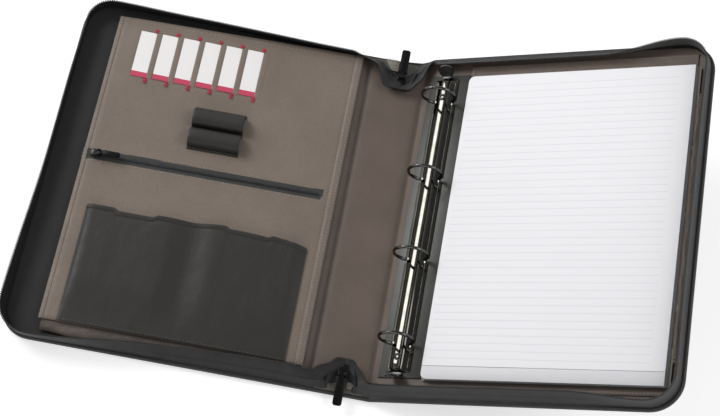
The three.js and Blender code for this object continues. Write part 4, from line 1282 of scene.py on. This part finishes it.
def padBlock(node, piece, finishes, roundedEnd, slot):
    low, high = localBox(node, rightPlace)
    bm = bmesh.new()
    corners = [bm.verts.new((x, y, low.z)) for x, y in ((low.x, low.y), (high.x, low.y), (high.x, high.y),
                                                        (low.x, high.y))]
    bm.faces.new(corners)
    rounded = [v for v in corners if v.co.x < low.x + 1 and (v.co.y > low.y + 1) == (roundedEnd > 0)]
    bmesh.ops.bevel(bm, geom=rounded, offset=padSizes["corner"], offset_type="OFFSET", segments=8, profile=0.5,
                    affect="VERTICES", material=-1)
    raised = bmesh.ops.extrude_face_region(bm, geom=bm.faces[:])["geom"]
    bmesh.ops.translate(bm, vec=(0, 0, high.z - low.z), verts=[g for g in raised if isinstance(g, bmesh.types.BMVert)])
    bmesh.ops.recalc_face_normals(bm, faces=bm.faces)
    rim = [e for e in bm.edges if all(v.co.z > high.z - 0.01 for v in e.verts)]
    bmesh.ops.bevel(bm, geom=rim, offset=padSizes["edge"], offset_type="OFFSET", segments=2, profile=0.5,
                    affect="EDGES", clamp_overlap=True, material=-1)
    bm.normal_update()
    for face in bm.faces:
        face.material_index = 0 if face.normal.z > 0.8 else len(finishes) - 1
    for vert in bm.verts:  # the lower sheets stand out a little
        if vert.co.x > high.x - 0.01 and vert.co.z < low.z + 0.01:
            vert.co.x += padSizes["fan"]
    bmesh.ops.transform(bm, matrix=rightPlace, verts=bm.verts)
    finishPiece(piece, bm, finishes, "writing_pad", replaced=[node], slot=slot, sharp=30)


padBlock("pad_sheets", "padSheets", [padRuled, paperEdge], 1, "paper_white")
padBlock("pad_binding", "padBinding", [bindingPaintedShadePaper], -1, "paper_grey")

# The pocket that holds the pad: a cloth panel with a hem on the ring side, and a gathered outer strip.
padPocketSizes = {"thickness": 0.6, "hem": 4, "hemRise": 0.5, "wrinkle": 0.7}
panelLowR, panelHighR = localBox("pad_pocket_panel", rightPlace)
stripLow, stripHigh = localBox("pad_retaining_strip", rightPlace)


def makePadPocket():
    sizes = padPocketSizes
    low, high = panelLowR, panelHighR
    columns = placesAt(low.x, high.x, [low.x + d for d in (0.5, 1.2, 3.4, 3.9, 4.4, 5.2)], 5)
    rows = placesAt(low.y, high.y, [low.y + d for d in (0.5, 1.5, 3, 4.5, 6, 8)]
                    + [high.y - d for d in (0.5, 1.5, 3, 4.5, 6, 8, 11)], 5)

    def shape(a, b):
        x, y = mix(low.x, high.x, a), mix(low.y, high.y, b)
        edge = min(x - low.x, high.y - y, y - low.y)
        outside = ease(sheetsHigh.y - 2, sheetsHigh.y + 5, y) + ease(-152, -155, y)
        wrinkle = sizes["wrinkle"] * abs(noise.noise(Vector((x * 0.05, y * 0.11, 7)))) * outside
        hem = sizes["hemRise"] * (1 - ease(sizes["hem"] - 0.4, sizes["hem"] + 0.4, edge))
        fall = 0.5 * (1 - ease(0, 1.2, edge))
        groove = 0.3 * math.exp(-((edge - sizes["hem"] - 0.6) / 0.5) ** 2)
        return rightPlace @ Vector((x, y, low.z + 0.75 + wrinkle + min(hem, 0.45) - fall - groove))

    size = ((high.x - low.x) * mm, (high.y - low.y) * mm)
    bm = sheetGrid(columns, rows, shape, sizes["thickness"], size=size)
    panel = finishPiece("padPocketPanel", bm, taupeSpineLeather, "right_cover", replaced=["pad_pocket_panel"],
                        slot="taupe_fabric", sharp=60)

    def stripShape(a, b):
        y = mix(stripLow.y, stripHigh.y, a)
        angle = math.pi * b
        end = ease(0, 0.03, a) * ease(1, 0.97, a)
        gather = noise.noise(Vector((y * 0.055, b * 2, 3))) + 0.5 * noise.noise(Vector((y * 0.16, b * 3, 9)))
        pinch = math.exp(-((y - stripLow.y - 9) / 3) ** 2) + math.exp(-((y - stripHigh.y + 9) / 3) ** 2)
        rise = (stripHigh.z - stripLow.z - 0.6) * (1 - 0.45 * pinch) * mix(0.35, 1, end)
        across = mix(stripLow.x, stripHigh.x, (1 - math.cos(angle)) / 2)
        height = stripLow.z + 0.6 + rise * math.sin(angle) ** 0.7 * (1 + 0.35 * gather) * 0.8
        return rightPlace @ Vector((across, y, min(height, stripHigh.z + 0.6)))

    length = (stripHigh.y - stripLow.y) * mm
    strip = sheetGrid(even(120), even(10), stripShape, 0.5, size=(length, 0.009))
    band = finishPiece("padRetainingStrip", strip, taupeSpineLeather, "right_cover",
                       replaced=["pad_retaining_strip"], slot="taupe_fabric", sharp=60)
    seams = bmesh.new()
    for low_, high_ in (((low.x + 1.9, low.y + 3, low.z + 1.15), (low.x + 1.9, high.y - 3, low.z + 1.15)),
                        ((low.x + 3, high.y - 1.9, low.z + 1.15), (high.x - 3, high.y - 1.9, low.z + 1.15)),
                        ((low.x + 3, low.y + 1.9, low.z + 1.15), (high.x - 3, low.y + 1.9, low.z + 1.15))):
        stitchRun(seams, [low_, high_], place=rightPlace, **stitchSizes)
    for end, way in ((stripLow.y, 1), (stripHigh.y, -1)):
        for step in (1.5, 4.5):
            y = end + way * step
            stitchRun(seams, [(stripLow.x - 0.2, y, stripHigh.z), (stripHigh.x, y, stripHigh.z - 1)],
                      place=rightPlace, **stitchSizes)
    finishPiece("padPocketStitches", seams, threadLight, "right_cover", slot="taupe_fabric")


makePadPocket()
print("pad and its pocket made")

# Cloth folded into the notches at both ends of the spine, with the sewn ends of the zip.
notchClothSizes = {"thickness": 0.5, "wallTop": 11.2, "reach": 12}
spineEndSizes = {"halfWidth": 21, "start": 9, "edge": {"back": 9.6, "front": 2.6}, "height": 5.9}


def notchCloth(end, name):
    low, high = localBox(f"spine_gusset_{name}", spinePlace)
    centre, halfWidth = (low.x + high.x) / 2, (high.x - low.x) / 2
    floor = low.y if end > 0 else -high.y
    mouth = high.y if end > 0 else -low.y
    path = smoothLine([Vector((centre - halfWidth, mouth, 0)), Vector((centre - halfWidth + 3.5, floor + 8, 0)),
                       Vector((centre - halfWidth * 0.62, floor + 1.8, 0)), Vector((centre, floor + 1.0, 0)),
                       Vector((centre + halfWidth * 0.62, floor + 1.8, 0)),
                       Vector((centre + halfWidth - 3.5, floor + 8, 0)), Vector((centre + halfWidth, mouth, 0))], 6)
    last = len(path) - 1
    sizes = notchClothSizes

    def shape(a, b):
        point = path[round(a * last)]
        inward = Vector((centre - point.x, 0.5 * (mouth - point.y) + 3, 0)).normalized()
        fall = ease(0, 0.4, b)
        out = 0.6 * fall + sizes["reach"] * max(b - 0.35, 0) / 0.65 * min(1, abs(point.y - mouth) / 12 + 0.35)
        place = point + inward * out
        return flat(place.x, end * place.y, mix(sizes["wallTop"], 5.95, fall) + 0.2 * noise.noise(place * 0.2))

    bm = sheetGrid([i / last for i in range(last + 1)], even(10), shape, sizes["thickness"], size=(0.06, 0.02))
    cloth = finishPiece(f"notchCloth{name.capitalize()}", bm, bindingLeather, "spine",
                        replaced=[f"spine_gusset_{name}"], slot="zip_tape", sharp=70)


def spineEndCloth(end, name):  # the plain cloth that lines a notch as far as the spine's end
    low, high = localBox(f"spine_gusset_{name}", spinePlace)
    sizes = spineEndSizes
    centre = (low.x + high.x) / 2
    start, stop = (low.y if end > 0 else -high.y) + sizes["start"], half - sizes["edge"][name]

    def shape(a, b):
        y = mix(start, stop, b)
        x = centre * (1 - b) + mix(-1, 1, a) * mix(8, sizes["halfWidth"], b)
        wrinkle = 0.5 * noise.noise(Vector((x * 0.12, y * 0.1, 4)))
        return flat(x, end * y, sizes["height"] + wrinkle - 0.5 * ease(0.9, 1, b))

    bm = sheetGrid(even(18), even(10), shape, 0.4, size=(0.034, 0.022))
    # its finish is the zip ends' cloth darkened, painted shade for the depth of the notch
    cloth = finishPiece(f"spineEndCloth{name.capitalize()}", bm, zipEndPaintedShade, "spine", slot="zip_tape", sharp=70)


def zipEnd(name, corners, height):
    def shape(a, b):
        near = corners[0].lerp(corners[1], a)
        far = corners[3].lerp(corners[2], a)
        place = near.lerp(far, b)
        return flat(place.x, place.y, height + 0.8 * b + 0.3 * noise.noise(Vector((a * 3, b * 3, 1))))

    bm = sheetGrid(even(8), even(8), shape, 0.5, size=(0.012, 0.012))
    cloth = finishPiece(name, bm, zipEndCloth, "spine", slot="zip_tape", sharp=70)
    seams = bmesh.new()
    for share in (0.2, 0.5, 0.8):
        run = [(shape(a, share) - spinePlace.translation) / mm for a in (0.06, 0.35, 0.65, 0.94)]
        stitchRun(seams, run, pitch=1.8, length=1.3, width=0.5, lift=0.3, place=spinePlace)
    finishPiece(f"{name}Stitches", seams, threadDark, "spine", slot="zip_tape")


spineEndCloth(1, "back")
spineEndCloth(-1, "front")
notchCloth(1, "back")
notchCloth(-1, "front")
zipEnd("zipEndBack", [Vector((-6.5, 150.5, 0)), Vector((-0.3, 150.5, 0)), Vector((-0.6, 161.5, 0)),
                      Vector((-13.5, 161.5, 0))], 7.6)
zipEnd("zipEndFront", [Vector((6.5, -158.5, 0)), Vector((13.5, -158.5, 0)), Vector((10.5, -164.5, 0)),
                       Vector((6.5, -164.5, 0))], 6.6)

# Hard nodes that keep their shape.
def dippedBoard(node, name, body):  # its back edge follows the skin's
    bm = bmesh.new()
    bm.from_mesh(frame["nodes"][node].data)
    bmesh.ops.remove_doubles(bm, verts=bm.verts, dist=0.01 * mm)
    bmesh.ops.dissolve_limit(bm, angle_limit=math.radians(1), verts=bm.verts, edges=bm.edges)
    for vert in bm.verts:
        vert.co.y = dipped(vert.co.x / mm, vert.co.y / mm) * mm
    finishPiece(name, bm, greyboard, body, replaced=[node], slot="greyboard")


dippedBoard("left_cover_board", "leftCoverBoard", "left_cover")
dippedBoard("spine_board", "spineBoard", "spine")
kept = {"right_cover_board": greyboard,
        "pad_backing": greyboard, "ring_blade_left": nickel, "ring_blade_right": nickel}
for node, finish in kept.items():
    frame["nodes"][node].material_slots[0].material = finish
print("notches and kept nodes finished")

# Camera, floor and light. The camera looks down on the open case from the front.
viewSizes = {"target": (-0.0113, 0.0087, 0.0), "distance": 1.4561, "azimuth": 3.57, "elevation": 65.8,
             "roll": 6.97, "lens": 80.1}
lightSizes = {"horizon": 0.95, "zenith": 0.16, "floorColour": (0.72, 0.72, 0.725), "floorGlow": 0.52, "floorSize": 9}
lamps = {
    "leftSoftbox": {"place": (-1.5, 0.78, 1.15), "size": (1.15, 0.85), "power": 25},
    "rightSoftbox": {"place": (1.45, 0.1, 1.45), "size": (1.2, 0.9), "power": 11},
    "frontSoftbox": {"place": (-0.2, -1.9, 0.9), "size": (1.4, 0.7), "power": 5},
}


def aimedAt(obj, place, target, roll=0.0):
    obj.location = place
    turn = (Vector(target) - Vector(place)).to_track_quat("-Z", "Y")
    obj.rotation_mode = "QUATERNION"
    obj.rotation_quaternion = turn @ Quaternion((0, 0, 1), math.radians(roll))


def makeCamera():
    sizes = viewSizes
    azimuth, elevation = math.radians(sizes["azimuth"]), math.radians(sizes["elevation"])
    back = Vector((math.cos(elevation) * math.sin(azimuth), -math.cos(elevation) * math.cos(azimuth),
                   math.sin(elevation)))
    camera = bpy.data.objects.new("camera", bpy.data.cameras.new("camera"))
    scene.collection.objects.link(camera)
    camera.data.lens = sizes["lens"]
    camera.data.sensor_width = 36
    aimedAt(camera, Vector(sizes["target"]) + back * sizes["distance"], sizes["target"], sizes["roll"])
    scene.camera = camera


def isSeenRay(nodes, links):
    path = nodes.new("ShaderNodeLightPath")
    seen = calculate(nodes, links, "MAXIMUM", path.outputs["Is Camera Ray"], path.outputs["Is Glossy Ray"])
    return calculate(nodes, links, "MAXIMUM", seen, path.outputs["Is Transmission Ray"])


def makeFloor():
    made, nodes, links, shader = newMaterial("whiteFloor")
    shader.inputs["Base Color"].default_value = (*lightSizes["floorColour"], 1)
    shader.inputs["Roughness"].default_value = 0.9
    shader.inputs["Emission Color"].default_value = (1, 1, 1, 1)
    glow = calculate(nodes, links, "MULTIPLY", isSeenRay(nodes, links), lightSizes["floorGlow"])
    links.new(glow, shader.inputs["Emission Strength"])
    bm = bmesh.new()
    bmesh.ops.create_grid(bm, x_segments=1, y_segments=1, size=lightSizes["floorSize"] / 2)
    bmesh.ops.translate(bm, vec=(0, 0, cadBox[0][2] - 0.0002), verts=bm.verts)
    mesh = bpy.data.meshes.new("floor")
    bm.to_mesh(mesh)
    bm.free()
    mesh.materials.append(made)
    floor = bpy.data.objects.new("floor", mesh)
    scene.collection.objects.link(floor)


def makeLamp(name, place, size, power, target=(0, 0, 0)):
    lamp = bpy.data.lights.new(name, "AREA")
    lamp.shape = "RECTANGLE"
    lamp.size, lamp.size_y = size
    lamp.energy = power
    holder = bpy.data.objects.new(name, lamp)
    scene.collection.objects.link(holder)
    aimedAt(holder, place, target)


def makeWorld():  # dark overhead and bright towards the horizon
    world = bpy.data.worlds.new("studio")
    world.use_nodes = True
    nodes, links = world.node_tree.nodes, world.node_tree.links
    background = nodes["Background"]
    direction = nodes.new("ShaderNodeTexCoord").outputs["Generated"]
    parts = nodes.new("ShaderNodeSeparateXYZ")
    links.new(direction, parts.inputs[0])
    low, high = lightSizes["horizon"], lightSizes["zenith"]
    sky = ramp(nodes, links, parts.outputs["Z"], [(0.0, (low,) * 3), (0.9, (high,) * 3)])
    path = nodes.new("ShaderNodeLightPath")
    seen = blendColour(nodes, links, path.outputs["Is Camera Ray"], sky, (1.0, 1.0, 1.0))
    links.new(seen, background.inputs["Color"])
    scene.world = world


makeCamera()
makeFloor()
makeWorld()
for name, lamp in lamps.items():
    makeLamp(name, lamp["place"], lamp["size"], lamp["power"])
scene.view_settings.view_transform = "Standard"
print("stage made")
